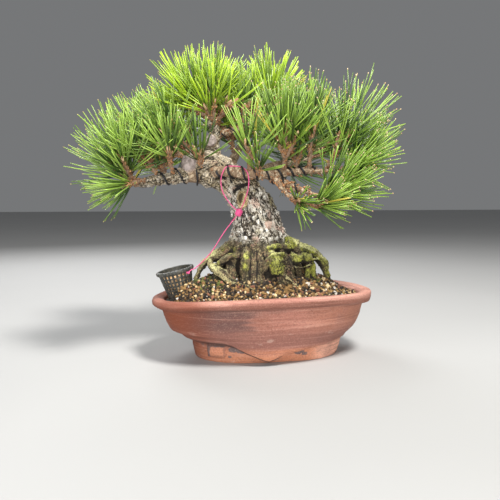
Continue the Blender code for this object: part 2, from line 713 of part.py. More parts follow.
def makeMass(plan, plans, blocked, material):
    """The stem runs on into the first shoot, and the other twigs branch from it."""
    parts = bpy.data.collections.new(plan["name"] + "_parts")
    bpy.context.scene.collection.children.link(parts)
    mass = None
    grown = []
    for shoot in plan["shoots"]:
        others = [s for s in plan["shoots"] if s is not shoot]
        cores = [(*s[a], *s[b], SHOOT_RADIUS) for s in others
                 for a, b in (("fork", "start"), ("start", "tip"))]
        near = np.vstack([blocked] + [np.array(rows) for rows in (cores, grown) if rows])
        run = [(*shoot["fork"], TWIG_RADIUS)]
        if mass is None:
            stem = [(*point, STEM_RADIUS) for point in plan["stem"]]
            mass, needles = makeShoot(plan["name"], stem + run, shoot, plan, plans, near, material)
        else:
            _, needles = makeShoot("shoot", run, shoot, plan, plans, near, None, parts)
        grown += needles
    if parts.objects:
        applyBoolean(mass, "UNION", parts, "MANIFOLD")
        keepLargestBody(mass)
    for item in list(parts.objects):
        bpy.data.objects.remove(item)
    bpy.data.collections.remove(parts)
    return mass


def growMasses(material):
    """Plans every mass first, so that each keeps clear of all limbs and of the others' twigs."""
    paths = limbPaths()
    plans = [planMass(name, paths[row[0]], i) for i, (name, row) in enumerate(MASSES.items())]
    limbs = [row for path in paths.values() for row in capsuleRows(path)]
    limbs += [row for line in (TIE_LOOP, TIE_TAIL)
              for row in capsuleRows([np.array((*p, TIE_RADIUS)) for p in line])]
    twigs = {}
    for plan in plans:
        rows = [(*plan["stem"][0], *plan["stem"][1], STEM_RADIUS),
                (*plan["stem"][1], *plan["shoots"][0]["fork"], STEM_RADIUS)]
        rows += [(*s["fork"], *s["start"], TWIG_RADIUS) for s in plan["shoots"]]
        rows += [(*s["start"], *s["tip"], SHOOT_RADIUS) for s in plan["shoots"]]
        twigs[plan["name"]] = rows
    for plan in plans:
        others = [row for name, rows in twigs.items() if name != plan["name"] for row in rows]
        reach = np.array(limbs + others)
        kept = [s for s in plan["shoots"]
                if gapsToCapsules(s["fork"], s["start"], reach) > TWIG_RADIUS + GAP
                and gapsToCapsules(s["start"], s["tip"], reach) > SHOOT_RADIUS + GAP]
        if len(kept) < len(plan["shoots"]):
            print(plan["name"], "skips", len(plan["shoots"]) - len(kept), "shoots")
        plan["shoots"] = kept
    for plan in plans:
        others = [row for name, rows in twigs.items() if name != plan["name"] for row in rows]
        makeMass(plan, plans, np.array(limbs + others), material)


def turnedBody(name, profile, sides, place, material):
    """A body turned about its own upright axis from (radius, height) points, then leaned."""
    levels = [lambda turn, r=r, h=h: place @ Vector((r * math.cos(turn), r * math.sin(turn), h))
              for r, h in profile[1:-1]]
    points, faces = ringStack(levels, sides)
    first, last = place @ Vector((0, 0, profile[0][1])), place @ Vector((0, 0, profile[-1][1]))
    item = makeObject(name, *closeRings(points, faces, sides, first, last), material)
    outward(item)
    smoothShade(item)
    return item


def makeBasket(plastic, feed):
    place = Matrix.Translation(BASKET_PLACE) @ Matrix.Rotation(BASKET_LEAN, 4, "Y")
    inner = BASKET_TOP - BASKET_WALL
    shell = ((0, 0), (BASKET_FOOT, 0), (BASKET_TOP, BASKET_HEIGHT - BASKET_RIM_HEIGHT),
             (BASKET_RIM, BASKET_HEIGHT - BASKET_RIM_HEIGHT), (BASKET_RIM, BASKET_HEIGHT),
             (inner, BASKET_HEIGHT), (BASKET_FOOT - BASKET_WALL, BASKET_WALL), (0, BASKET_WALL))
    turnedBody("feed_basket", shell, BASKET_SIDES, place, plastic)
    low = BASKET_WALL + GAP
    wide = (inner - BASKET_FOOT + BASKET_WALL) / (BASKET_HEIGHT - BASKET_WALL)
    foot = BASKET_FOOT - BASKET_WALL - GAP * 1.5
    pellets = ((0, low), (foot + wide * GAP, low), (foot + wide * (PELLET_FILL - low), PELLET_FILL),
               (foot * 0.6, PELLET_FILL + 0.001), (0, PELLET_FILL + 0.0012))
    turnedBody("feed_pellets", pellets, BASKET_SIDES, place, feed)


def makeBasketSeat(soil):
    """Presses the basket's hollow into the soil, 0.3 mm clear of the basket."""
    place = Matrix.Translation(BASKET_PLACE) @ Matrix.Rotation(BASKET_LEAN, 4, "Y")
    slope = (BASKET_TOP - BASKET_FOOT) / (BASKET_HEIGHT - BASKET_RIM_HEIGHT)
    wide = BASKET_FOOT + GAP * 1.5
    profile = ((0, -GAP), (wide, -GAP), (wide + slope * BASKET_HEIGHT, BASKET_HEIGHT),
               (0, BASKET_HEIGHT))
    seat = makeCutter(turnedBody("basket_seat", profile, BASKET_SIDES, place, None))
    applyBoolean(soil, "DIFFERENCE", seat)
    bpy.data.objects.remove(seat)


def makeTie(material):
    parts = bpy.data.collections.new("tie_parts")
    bpy.context.scene.collection.children.link(parts)
    shape = bmesh.new()
    bmesh.ops.create_icosphere(shape, subdivisions=1, radius=BEAD_RADIUS,
                               matrix=Matrix.Translation(BEAD))
    mesh = bpy.data.meshes.new("bead_tie")
    shape.to_mesh(mesh)
    shape.free()
    mesh.materials.append(material)
    tie = bpy.data.objects.new("bead_tie", mesh)
    bpy.context.scene.collection.objects.link(tie)
    for line in (TIE_LOOP, TIE_TAIL):
        makeTube("strand", [(*p, TIE_RADIUS) for p in line], TIE_SIDES, None, steps=2,
                 collection=parts)
    applyBoolean(tie, "UNION", parts)
    for item in list(parts.objects):
        bpy.data.objects.remove(item)
    bpy.data.collections.remove(parts)
    keepLargestBody(tie)
    smoothShade(tie)


def main():
    clearScene()
    clay = makeMaterial("clay", (0.30, 0.13, 0.085), 0.72)
    earth = makeMaterial("earth", (0.33, 0.25, 0.17), 0.95)
    bark = makeMaterial("bark", (0.26, 0.22, 0.18), 0.92)
    needles = makeMaterial("needles", (0.10, 0.24, 0.04), 0.48)
    plastic = makeMaterial("basket_plastic", (0.045, 0.055, 0.05), 0.55)
    feed = makeMaterial("feed", (0.42, 0.30, 0.16), 0.95)
    elastic = makeMaterial("elastic", (0.80, 0.06, 0.20), 0.45)
    makePot(clay)
    soilCutter = makeCutter(makeSoil(None, GAP * 1.5))
    soilCutter.name = "soil_clear"
    growLimbs(bark, soilCutter)
    bpy.data.objects.remove(soilCutter)
    makeBasketSeat(makeSoil(earth))
    growMasses(needles)
    makeBasket(plastic, feed)
    makeTie(elastic)


main()
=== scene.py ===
import math
import random

import bmesh
import bpy
import numpy as np
from mathutils import Matrix, Vector, noise


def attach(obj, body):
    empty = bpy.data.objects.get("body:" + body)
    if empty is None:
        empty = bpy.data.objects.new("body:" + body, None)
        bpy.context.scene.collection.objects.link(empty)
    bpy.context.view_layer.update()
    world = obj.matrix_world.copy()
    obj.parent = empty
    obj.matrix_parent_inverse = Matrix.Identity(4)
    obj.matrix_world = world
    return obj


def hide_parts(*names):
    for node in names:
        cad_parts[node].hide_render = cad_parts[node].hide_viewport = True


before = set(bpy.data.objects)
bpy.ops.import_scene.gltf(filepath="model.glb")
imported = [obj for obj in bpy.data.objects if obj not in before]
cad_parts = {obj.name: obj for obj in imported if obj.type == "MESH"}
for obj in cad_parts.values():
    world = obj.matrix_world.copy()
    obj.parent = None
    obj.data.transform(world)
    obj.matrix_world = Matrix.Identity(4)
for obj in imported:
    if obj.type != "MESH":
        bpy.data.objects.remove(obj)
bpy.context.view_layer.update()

fullTurn = 2 * math.pi
goldenTurn = math.radians(137.508)


class Mask:
    # one output of a node; sums and products of it add the Math nodes
    def __init__(self, paint, socket):
        self.paint = paint
        self.socket = socket

    def maths(self, operation, *values):
        return self.paint.node("ShaderNodeMath", {"operation": operation}, dict(enumerate(values)))

    def __add__(self, other):
        return self.maths("ADD", self, other)

    def __sub__(self, other):
        return self.maths("SUBTRACT", self, other)

    def __rsub__(self, other):
        return self.maths("SUBTRACT", other, self)

    def __mul__(self, other):
        return self.maths("MULTIPLY", self, other)

    __radd__ = __add__
    __rmul__ = __mul__


class Paint:
    # a material, its shader, and one method that adds any node to it
    def __init__(self, name, **fixed):
        self.material = bpy.data.materials.new(name)
        self.material.use_nodes = True
        self.tree = self.material.node_tree
        self.shader = self.tree.nodes["Principled BSDF"]
        for socket, value in fixed.items():
            self.shader.inputs[socket.replace("_", " ")].default_value = value
        self.place = self.node("ShaderNodeTexCoord", output="Object")

    def node(self, kind, settings=None, inputs=None, output=0):
        made = self.tree.nodes.new(kind)
        for key, value in (settings or {}).items():
            if key == "stops":
                for i, (at, colour) in enumerate(value):
                    stop = made.color_ramp.elements[i] if i < 2 else made.color_ramp.elements.new(at)
                    stop.position = at
                    stop.color = (*colour, 1.0)
            else:
                setattr(made, key, value)
        for key, value in (inputs or {}).items():
            socket = made.inputs[key]
            if isinstance(value, Mask):
                self.tree.links.new(value.socket, socket)
            elif socket.type == "RGBA":
                socket.default_value = (*value, 1.0)
            else:
                socket.default_value = value
        return Mask(self, made.outputs[output])

    def feed(self, socket, value):
        self.tree.links.new(value.socket, self.shader.inputs[socket])

    def stretched(self, scale):
        return self.node("ShaderNodeVectorMath", {"operation": "MULTIPLY"}, {0: self.place, 1: scale})

    def noise(self, scale, detail=4.0, where=None, rough=0.55):
        return self.node("ShaderNodeTexNoise", None, {"Vector": where or self.place, "Scale": scale,
                                                      "Detail": detail, "Roughness": rough})

    def cells(self, scale):
        return self.node("ShaderNodeTexVoronoi", None, {"Vector": self.place, "Scale": scale})

    def soft(self, value, low, high):
        return self.node("ShaderNodeMapRange", {"interpolation_type": "SMOOTHSTEP"},
                         {"Value": value, "From Min": low, "From Max": high})

    def patches(self, scale, detail, low, high):
        return self.soft(self.noise(scale, detail), low, high)

    def mix(self, factor, first, second):
        return self.node("ShaderNodeMix", {"data_type": "RGBA"}, {0: factor, 6: first, 7: second}, 2)

    def over(self, colour, *coats):
        # coats laid one on another, each with how much it covers
        for factor, coat in coats:
            colour = self.mix(factor, colour, coat)
        return colour

    def ramp(self, value, stops):
        return self.node("ShaderNodeValToRGB", {"stops": stops}, {"Fac": value})

    def axis(self, letter):
        return self.node("ShaderNodeSeparateXYZ", None, {0: self.place}, letter)

    def reads(self, attribute):
        return self.node("ShaderNodeAttribute", {"attribute_name": attribute}, output="Fac")

    def bump(self, height, strength, distance):
        self.feed("Normal", self.node("ShaderNodeBump", None, {"Height": height, "Strength": strength,
                                                               "Distance": distance}))


def inMetres(value):
    # tables are written in millimetres; the rounding keeps each value just as written
    if isinstance(value, dict):
        return {name: inMetres(rows) for name, rows in value.items()}
    if isinstance(value, tuple):
        return tuple(inMetres(part) for part in value)
    return round(value / 1000, 8)


def placed(name, mesh):
    thing = bpy.data.objects.new(name, mesh)
    bpy.context.scene.collection.objects.link(thing)
    return thing


def changed(thing, kind, **settings):
    change = thing.modifiers.new(kind.lower(), kind)
    for key, value in settings.items():
        setattr(change, key, value)


def changedMesh(thing):
    # a new mesh that holds what the modifiers did
    return bpy.data.meshes.new_from_object(thing.evaluated_get(bpy.context.evaluated_depsgraph_get()))


def meshFrom(name, shape):
    mesh = bpy.data.meshes.new(name)
    shape.to_mesh(mesh)
    shape.free()
    return mesh


def readRows(items, key, width, kind=float):
    # one row of numbers for each vertex or edge
    values = np.zeros(len(items) * width, kind)
    items.foreach_get(key, values)
    return values.reshape(-1, width)


def joined(chunks):
    # one list of points and one of faces from many pairs of points and blocks of faces
    points, faces, count = [], [], 0
    for some, blocks in chunks:
        points.append(np.asarray(some, float).reshape(-1, 3))
        for block in blocks:
            faces += (np.asarray(block) + count).tolist()
        count += len(points[-1])
    return np.vstack(points), faces


def makePiece(name, chunks, paint, nodes=(), smooth=True):
    points, faces = joined(chunks)
    mesh = bpy.data.meshes.new(name)
    mesh.from_pydata(points, [], faces)
    mesh.update()
    piece = placed(name, mesh)
    mesh.materials.append(paint.material)
    if smooth:
        mesh.shade_smooth()
    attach(piece, "root")
    if nodes:
        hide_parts(*nodes)
    return piece


def addReads(mesh, reads):
    # values on the points, which the paints read by name
    for name, values in reads.items():
        layer = mesh.attributes.new(name, "FLOAT", "POINT")
        layer.data.foreach_set("value", values.astype(np.float32))


def unit(rows):
    rows = np.asarray(rows, float)
    return rows / np.maximum(np.linalg.norm(rows, axis=-1, keepdims=True), 1e-12)


def between(a, b, c, d, t):
    # the Catmull-Rom curve from b to c
    return 0.5 * (2 * b + (c - a) * t + (2 * a - 5 * b + 4 * c - d) * t * t
                  + (3 * b - a - 3 * c + d) * t ** 3)


def padded(rows):
    return [2 * rows[0] - rows[1]] + rows + [2 * rows[-1] - rows[-2]]


def smoothRun(rows, steps):
    # a smooth run through rows of any width
    rows = padded([np.array(row, float) for row in rows])
    run = [between(*four, t) for four in zip(rows, rows[1:], rows[2:], rows[3:])
           for t in np.arange(steps) / steps]
    return np.array(run + [rows[-2]])


def runLengths(rows):
    # how far along the run each of its points lies
    return np.concatenate(([0], np.cumsum(np.linalg.norm(np.diff(rows, axis=0), axis=1))))


def sampled(at, lengths, rows):
    return np.column_stack([np.interp(at, lengths, column) for column in rows.T])


def evenRun(rows, count):
    # the same curve with this many points, evenly spaced
    rows = smoothRun(rows, 4)
    lengths = runLengths(rows)
    return sampled(np.linspace(0, lengths[-1], count), lengths, rows)


def ringWalls(count, sides):
    # walls between rings of points, and a cap on each end
    a = np.arange(count - 1)[:, None] * sides + np.arange(sides)
    b = np.arange(count - 1)[:, None] * sides + (np.arange(sides) + 1) % sides
    walls = np.stack((a, b, b + sides, a + sides), -1).reshape(-1, 4)
    return [walls, np.arange(sides)[None, ::-1], ((count - 1) * sides + np.arange(sides))[None]]


def rods(runs, radii, sides, shape=None):
    # closed rods along runs of (count, points, 3), each point with its own radius
    runs = np.asarray(runs, float)
    radii = np.broadcast_to(radii, runs.shape[:2])
    count, steps = runs.shape[:2]
    along = unit(np.gradient(runs, axis=1))
    steep = np.abs(along[:, 0, 2:3]) > 0.9
    across = np.cross(along[:, 0], np.where(steep, (0, 1.0, 0), (0, 0, 1.0)))
    turns = fullTurn * np.arange(sides) / sides
    rings = []
    for i in range(steps):
        across = unit(across - along[:, i] * (across * along[:, i]).sum(1, keepdims=True))
        third = np.cross(along[:, i], across)
        wide = np.ones(sides) if shape is None else shape(i / (steps - 1), turns)
        out = across[:, None] * np.cos(turns)[None, :, None] + third[:, None] * np.sin(turns)[None, :, None]
        rings.append(runs[:, i, None] + out * radii[:, i, None, None] * wide[None, :, None])
    shift = np.arange(count)[:, None, None] * steps * sides
    blocks = [(block + shift).reshape(-1, block.shape[1]) for block in ringWalls(steps, sides)]
    return np.stack(rings, 1).reshape(-1, 3), blocks


def spun(profile, sides, place, ripple):
    # rings of points about an upright axis, from (radius, height) rows
    rows = []
    for radius, height in profile:
        for side in range(sides):
            turn = fullTurn * side / sides
            wide = radius * ripple(radius, turn)
            rows.append(place @ Vector((wide * math.cos(turn), wide * math.sin(turn), height)))
    return np.array(rows)


def nearestOnRuns(points, runs):
    # for each point: which run, how far along it, the offset from it, and its radius there
    tables = []
    for number, run in enumerate(runs):
        lengths = runLengths(run[:, :3])
        tables.append(np.column_stack((run[:-1], run[1:], lengths[:-1], lengths[1:],
                                       np.full(len(run) - 1, number))))
    rows = np.vstack(tables)
    found = []
    for part in np.array_split(points, max(1, len(points) // 4000)):
        along = rows[:, 4:7] - rows[:, :3]
        away = part[:, None] - rows[None, :, :3]
        t = np.clip((away * along).sum(2) / np.maximum((along ** 2).sum(1), 1e-12), 0, 1)
        offset = away - along * t[:, :, None]
        wide = rows[:, 3] + (rows[:, 7] - rows[:, 3]) * t
        best = (np.linalg.norm(offset, axis=2) - wide).argmin(1)
        pick = np.arange(len(part))
        t, wide, offset = t[pick, best], wide[pick, best], offset[pick, best]
        length = rows[best, 8] + (rows[best, 9] - rows[best, 8]) * t
        found.append(np.column_stack((rows[best, 10], length, offset, wide)))
    return np.vstack(found)


def within(value, low, high):
    # a smooth step from 0 at low to 1 at high
    t = np.clip((value - low) / (high - low), 0, 1)
    return t * t * (3 - 2 * t)


# Limbs: the same middle lines as the source, each point (x, y, z, radius) in millimetres;
# the trunk is slimmer at its foot, where roots are laid on to it
trunkRows = inMetres(((-4, 1, 69, 32), (-4, 1, 74.5, 30.8), (-4.8, 1, 86.5, 26.8), (-4.8, 1, 101, 24.8),
                      (-6.8, 1.5, 116.5, 23.8), (-10.5, 2, 132, 22), (-14.5, 3, 145.5, 20.2),
                      (-20, 6, 157, 19), (-29, 11, 167, 17.5), (-38.5, 16, 176, 15.2),
                      (-47.5, 20, 184, 12), (-54, 23.5, 190, 8.5)))
rootRows = inMetres({
    "right_arch_root": ((10, -3, 102, 9), (33, -7, 100, 7.4), (47, -10, 95.5, 5.8), (57, -12, 86.5, 4.4),
                        (62.5, -11.5, 69, 3.5)),
    "right_strand_root": ((44, -11, 95, 2.8), (45.5, -15, 83, 2.9), (46, -18.5, 66, 3.4)),
    "right_back_root": ((18, 8, 90, 7.5), (32, 17, 85, 6), (45, 24, 76, 4.6), (50, 26, 68, 3.6)),
    "left_root": ((-20, -1, 103, 9.2), (-40, -2, 96.5, 6.8), (-52, -1.2, 91.5, 4.8), (-60, 0.6, 85, 3.4),
                  (-66, 1.8, 72, 2.6)),
    "left_loop_root": ((-52, -3, 91, 2.7), (-52.5, -12, 86, 3), (-47, -19, 80, 3.8),
                       (-40, -25, 74.5, 3.4), (-32, -30, 69, 2.4)),
    "front_root": ((-5, -16, 96, 7), (2, -29, 94.5, 6.2), (6.5, -34, 86, 4.8), (8.5, -37, 70, 4.2)),
    "front_left_root": ((-19, -15, 100, 6), (-22.5, -25, 90.5, 4.8), (-24.5, -29, 69, 4.4)),
    "back_root": ((-15, 15, 96, 7.5), (-22, 29, 89, 6.2), (-29, 38, 80, 4.8), (-33, 42, 66, 4)),
})
boughRows = inMetres({
    "left_bough": ((-34, 9.5, 165, 11), (-52, 8, 170, 9.7), (-69.5, 6.6, 172, 8), (-86.5, 6.2, 169.2, 6),
                   (-103, 6.4, 166.2, 4.4), (-117, 6.6, 162, 2.8)),
    "apex_stem": ((-44.5, 19.5, 186, 8), (-46.5, 18, 202, 6.6), (-43.5, 15.5, 211.5, 5.2),
                  (-47.5, 16.2, 222, 4), (-47.8, 15.5, 231, 2.8)),
    "right_bough": ((-48, 2, 174, 4.8), (-36.5, -13, 174, 4.8), (-17, -19.5, 171.5, 4.6),
                    (4, -20, 171.5, 4), (30, -21.8, 174.5, 3.1), (54, -23.8, 174.8, 2.5),
                    (72, -25.8, 175.5, 2)),
    "right_low_bough": ((1, -20, 169.5, 3.6), (12.5, -24, 163.5, 3.3), (24.5, -27.7, 158.8, 2.9),
                        (39, -30.8, 153.2, 2.1)),
    "thin_low_bough": ((2, -21.5, 169.5, 2.3), (5.5, -29.8, 165.5, 2.2), (10.5, -32.8, 158.5, 2.1),
                       (18, -35, 150, 2), (28.5, -36.7, 145, 1.6)),
    "crown_twig": ((-44.5, 16.2, 209, 3.2), (-20, 14.5, 217, 2.9), (-5.5, 13.5, 223, 2.6),
                   (5, 13, 229, 2.1)),
    "left_upper_twig": ((-62, 9, 172, 3.5), (-67, 10.2, 187, 2.8), (-71.8, 9.1, 196.5, 2.2)),
    "back_right_bough": ((-14, 12, 166, 6.2), (12, 30, 179, 5.1), (38, 42, 186.5, 4),
                         (60, 50, 191.5, 2.5)),
    "back_bough": ((-30, 20, 176, 6), (-20.5, 44, 190, 4.7), (-12, 61, 201, 3.6), (-6, 73, 208, 2.5)),
    "back_left_bough": ((-50, 23, 180, 5), (-63, 44, 188.5, 4.1), (-77, 62, 195.5, 3.1),
                        (-88, 75, 198.5, 2.2)),
})
# Scars, swellings and thin roots that are grown on to the limbs here
knobRows = inMetres({
    "left_knob": ((-65.5, 6.2, 170, 8.5), (-69, 5, 178, 8.4), (-70.6, 4.4, 185, 7.6),
                  (-71.4, 4, 189.5, 5)),
    "cut_knob": ((-46.2, 18, 203, 5.2), (-49.2, 12, 204, 6.2), (-50.5, 8, 204.4, 5.6)),
})
swellRows = inMetres({
    "shoulder": ((-66, 6, 176.5, 8.6), (-59.5, 9, 181, 11), (-50, 13, 182.5, 12), (-44, 15, 179, 11.8)),
    "trunk_right": ((14.5, -4, 102, 11.5), (12.2, -3, 113, 10.5), (8.5, -2, 126, 9.2), (3.6, 0, 140, 8.2),
                    (-3, 1.5, 152, 6.8), (-11, 3.5, 161, 5)),
    "trunk_left": ((-25, -2, 104, 9.5), (-25, -1, 113, 7.5), (-25, 0, 122, 6)),
    "trunk_front": ((-5, -14, 104, 11), (-5.5, -13, 113, 9.5), (-7, -12, 124, 8)),
})
thinRows = inMetres({
    "cross_root": ((33, -13.5, 89, 1.6), (40, -17.8, 89.5, 1.6), (48, -17.5, 91.2, 1.5),
                   (54.5, -14, 88.5, 1.2)),
    "second_strand": ((39, -12.5, 94.5, 2.2), (39.5, -18.5, 85, 2.4), (38.5, -23, 70, 2.4)),
    "pale_root": ((5, -34, 86, 1.9), (11, -40, 79, 1.7), (18, -44, 72.5, 1.2), (22, -45.5, 69, 0.8)),
    "thread_root": ((-36, -28, 72.5, 2.4), (-29, -34, 72.2, 1.4), (-22, -41, 70, 1),
                    (-16, -46.5, 66.5, 0.7)),
    "front_ridge": ((-12, -19, 115, 2.4), (-13.5, -19, 102, 4.4), (-15, -25, 88, 4.8), (-16, -29, 69, 5)),
    "right_ridge": ((7, -16, 115, 2.6), (11, -14, 101, 5.6), (17, -20, 90, 5.2), (23, -24, 69, 4.6)),
    "left_ridge": ((-23, -8, 113, 2.4), (-27.5, -7, 100, 4.6), (-34, -11, 88, 4), (-38, -13, 69, 4)),
    "right_inner_root": ((18, 0, 98, 5.6), (30, -3, 88, 4.4), (35, -8, 69, 3.6)),
    "right_far_root": ((30, 2, 96, 4.6), (42, 3, 86, 3.6), (48, 3, 69, 3)),
    "left_inner_root": ((-28, 2, 97, 5), (-40, 6, 85, 4), (-46, 8, 69, 3.4)),
    "left_low_root": ((-36, -4, 94, 3.8), (-45, -7, 84, 3.2), (-49, -10, 69, 2.6)),
    "knuckle_root": ((6, -28, 96, 4.2), (13, -30, 90, 3.8), (15, -34, 69, 3.4)),
    "knuckle": ((3, -29, 92.5, 7), (5, -34, 88, 8.4), (5.5, -35, 79, 6.4)),
    "arc_root": ((-7.5, -32, 79, 2), (-6.2, -34.5, 86, 2.5), (-2, -34.5, 93.5, 2.7),
                 (5, -32.5, 97.5, 2.8), (12.5, -30, 96, 2.7), (17.5, -25, 93, 2.2)),
    "belt_root": ((-8, -25, 98.5, 1.8), (-2, -26, 102, 2.8), (6, -24, 104.5, 3.4), (15, -19, 103.5, 3.6),
                  (24, -12, 103, 4)),
    "right_lump": ((21, -16, 95, 5), (27, -18.5, 91.5, 5.2), (33, -17, 92.5, 4.6)),
    "far_lump": ((33, -15, 95, 4.4), (38.5, -17.5, 91.5, 5), (43, -16, 92, 3.6)),
    "right_start": ((13, -4, 112, 8), (21, -6, 106, 8), (31, -7.5, 102, 7.4)),
    "left_start": ((-24, -1, 111, 7), (-31, -2, 103, 7.2), (-39, -2, 97.5, 6.8)),
    "left_flute": ((-21, -13, 111, 2.2), (-28.5, -10, 99, 3.8), (-32, -15, 86, 4.2), (-33, -19, 69, 4.6)),
    "middle_flute": ((-6, -22.5, 112, 2.2), (-8, -23, 99, 3.8), (-8.5, -28, 86, 4.4),
                     (-9.5, -31, 69, 5.2)),
    "right_flute": ((9, -19.5, 108, 2.2), (13.5, -21, 95, 4.2), (18, -26, 84, 4.6), (20, -29, 69, 5)),
    "under_root": ((23, -23, 85, 1.3), (31, -24, 84, 1.4), (40, -22.5, 86, 1.2), (45, -20, 87, 1)),
    "left_second": ((-23, -13, 97, 4.6), (-37, -14, 93, 3.6), (-47, -13, 88, 2.8)),
    "loop_double": ((-50, -10, 88, 1.8), (-44, -17, 83.5, 2), (-38, -22, 79, 1.8), (-33, -26, 74, 1.4)),
    "front_flare": ((-6, -10, 108, 13), (-4, -16, 88, 13.8), (-3, -18.5, 69, 16)),
    "left_flare": ((-19, -2, 104, 8), (-24, -5, 88, 8.5), (-27, -6, 69, 9.5)),
    "right_flare": ((11, 0, 103, 8.5), (18, -3, 88, 9), (21, -4, 69, 10)),
    "back_flare": ((-6, 8, 106, 13), (-6, 17, 88, 15), (-6, 21, 69, 17)),
})
limbRuns = {"trunk": smoothRun(trunkRows, 4)}
for table in (rootRows, boughRows, knobRows, swellRows, thinRows):
    limbRuns.update({name: smoothRun(rows, 5) for name, rows in table.items()})


def spots(*rows):
    # round places: x, y, z and reach in millimetres, and strength
    return [(*inMetres(row[:4]), row[4]) for row in rows]


woodSettings = {
    "seed": 12,             # of the vector noise, which differs from run to run without one
    "voxel": 0.00068,       # size of the grid that melts the limbs into one skin
    "melt": 4,              # rounds of smoothing where limbs meet
    "sides": (64, 20),      # round the trunk, and round each other limb
    # for each kind: width of a bark plate, depth of the cracks, how its length is shrunk, height of lumps
    "kinds": {"trunk": (0.0043, 0.0020, 0.75, 0.0018), "left_bough": (0.0033, 0.0020, 0.8, 0.0032),
              "apex_stem": (0.0028, 0.0009, 0.8, 0.0008), "root": (0.0026, 0.0015, 0.36, 0.0016),
              "twig": (0.0030, 0.0006, 1.5, 0.0008)},
    "crack": 0.34,          # width of the cracks between plates, and between the flakes on them
    "chip": 0.36,
    "rootEase": 0.6,        # how much of a root's relief is smoothed
    "wide": 90,             # rounds of smoothing that tell ridges from hollows
    # middle, size and depth of each
    "knothole": ((-0.0236, -0.0144, 0.1477), 0.0062, 0.0036),
    "knobHole": ((-0.0768, 0.0030, 0.1835), 0.0021, 0.0030),
    "hollow": ((-0.0320, -0.0150, 0.0850), 0.0080, 0.0042),
    "holeLip": 0.0012,
    "crease": (0.0022, inMetres(((-38.2, -6.2, 149.5), (-25.1, -12.1, 160.7), (-13.9, -13.4, 163.5)))),
    "wrinkles": ((0.0160, -0.0380, 0.0770), 0.0195, 0.0030, 0.00050),  # middle, reach, spacing, height
    "mossTop": (0.127, 0.030),   # height, and how far below it the damp is full
    "mossSpots": spots((2, -42, 86, 10, 1.0), (6, -33, 97, 8.5, 0.9), (22, -11, 106, 11, 0.95),
                       (40, -12, 101, 10, 1.0), (56, -13, 90, 8, 0.75), (37, -19, 92, 7, 0.95),
                       (25, -22, 93, 7, 0.9), (46, -19, 78, 12, 1.0), (33, -21, 90, 7, 0.9),
                       (62, -12, 80, 8, 0.8), (39, -22, 79, 7, 0.85), (48, -18, 91, 7, 1.0),
                       (-21, -26, 98, 5, 0.9), (-23, -30, 86, 5, 0.6), (-35, -8, 99, 11, 0.55),
                       (-50, -12, 85, 9, 0.55), (2, -27, 106, 11, 0.6), (-20, 30, 92, 13, 0.9),
                       (32, 18, 88, 12, 0.9), (-30, 12, 96, 10, 0.7)),
    "bareSpots": spots((7.5, -17, 142, 7.5, 1.0), (2, -21.5, 126, 6.5, 0.9), (-8, 23, 135, 9, 0.9),
                       (15, 8, 125, 7, 0.7)),
    # bright patches painted where the light falls on the roots: painted highlights
    "litSpots": spots((33, -9, 106, 9, 0.9), (45, -11, 102, 9, 1.0), (56, -13, 95, 8, 0.9),
                      (46, -19, 92, 6.5, 1.0), (39, -21, 88, 5.5, 0.8), (62, -13, 83, 6, 0.7),
                      (4, -30, 98, 7, 0.6), (-52, -2, 95, 9, 0.9), (-61, 0, 88, 8, 0.9),
                      (-50, -15, 85, 7, 0.8)),
    "paleRoots": ("left_root", "left_loop_root", "pale_root", "thread_root"),
}


def trunkShape(along, turns):
    # flatter from front to back, with root lobes that fade up the trunk
    lobe = 0.09 * max(0.0, 1 - along * 5) * np.cos(5 * turns + 0.8)
    return (1 + lobe) * np.hypot(0.88 * np.cos(turns), np.sin(turns))


def meltedLimbs():
    trunkSides, limbSides = woodSettings["sides"]
    chunks = [rods([run[:, :3]], [run[:, 3]], limbSides) if name != "trunk"
              else rods([run[:, :3]], [run[:, 3]], trunkSides, trunkShape) for name, run in limbRuns.items()]
    points, faces = joined(chunks)
    mesh = bpy.data.meshes.new("limbs")
    mesh.from_pydata(points, [], faces)
    limbs = placed("limbs", mesh)
    changed(limbs, "REMESH", mode="VOXEL", voxel_size=woodSettings["voxel"])
    changed(limbs, "SMOOTH", factor=0.5, iterations=woodSettings["melt"])
    skin = changedMesh(limbs)
    bpy.data.objects.remove(limbs)
    return skin


def limbKind(name):
    if name in ("trunk", "left_bough", "apex_stem"):
        return name
    if name in swellRows:
        return "left_bough" if name == "shoulder" else "trunk"
    return "root" if name in rootRows or name in thinRows else "twig"


def localPlaces(points):
    # places measured along and across each limb, so that plates run the way the limb grows
    found = nearestOnRuns(points, list(limbRuns.values()))
    which = found[:, 0].astype(int)
    places = np.zeros((len(points), 3))
    for number, (name, run) in enumerate(limbRuns.items()):
        mine = which == number
        along = unit(np.gradient(run[:, :3], axis=0))
        lengths = runLengths(run[:, :3])
        across = unit(np.cross(along[0], (0.3, 1.0, 0.2)))
        sides = []
        for way in along:
            across = unit(across - way * across.dot(way))
            sides.append(across)
        here, offset = found[mine, 1], found[mine, 2:5]
        side = unit(sampled(here, lengths, np.array(sides)))
        third = np.cross(unit(sampled(here, lengths, along)), side)
        shrink = woodSettings["kinds"][limbKind(name)][2]
        places[mine] = np.column_stack((here * shrink, (offset * side).sum(1), (offset * third).sum(1)))
    return which, places, found


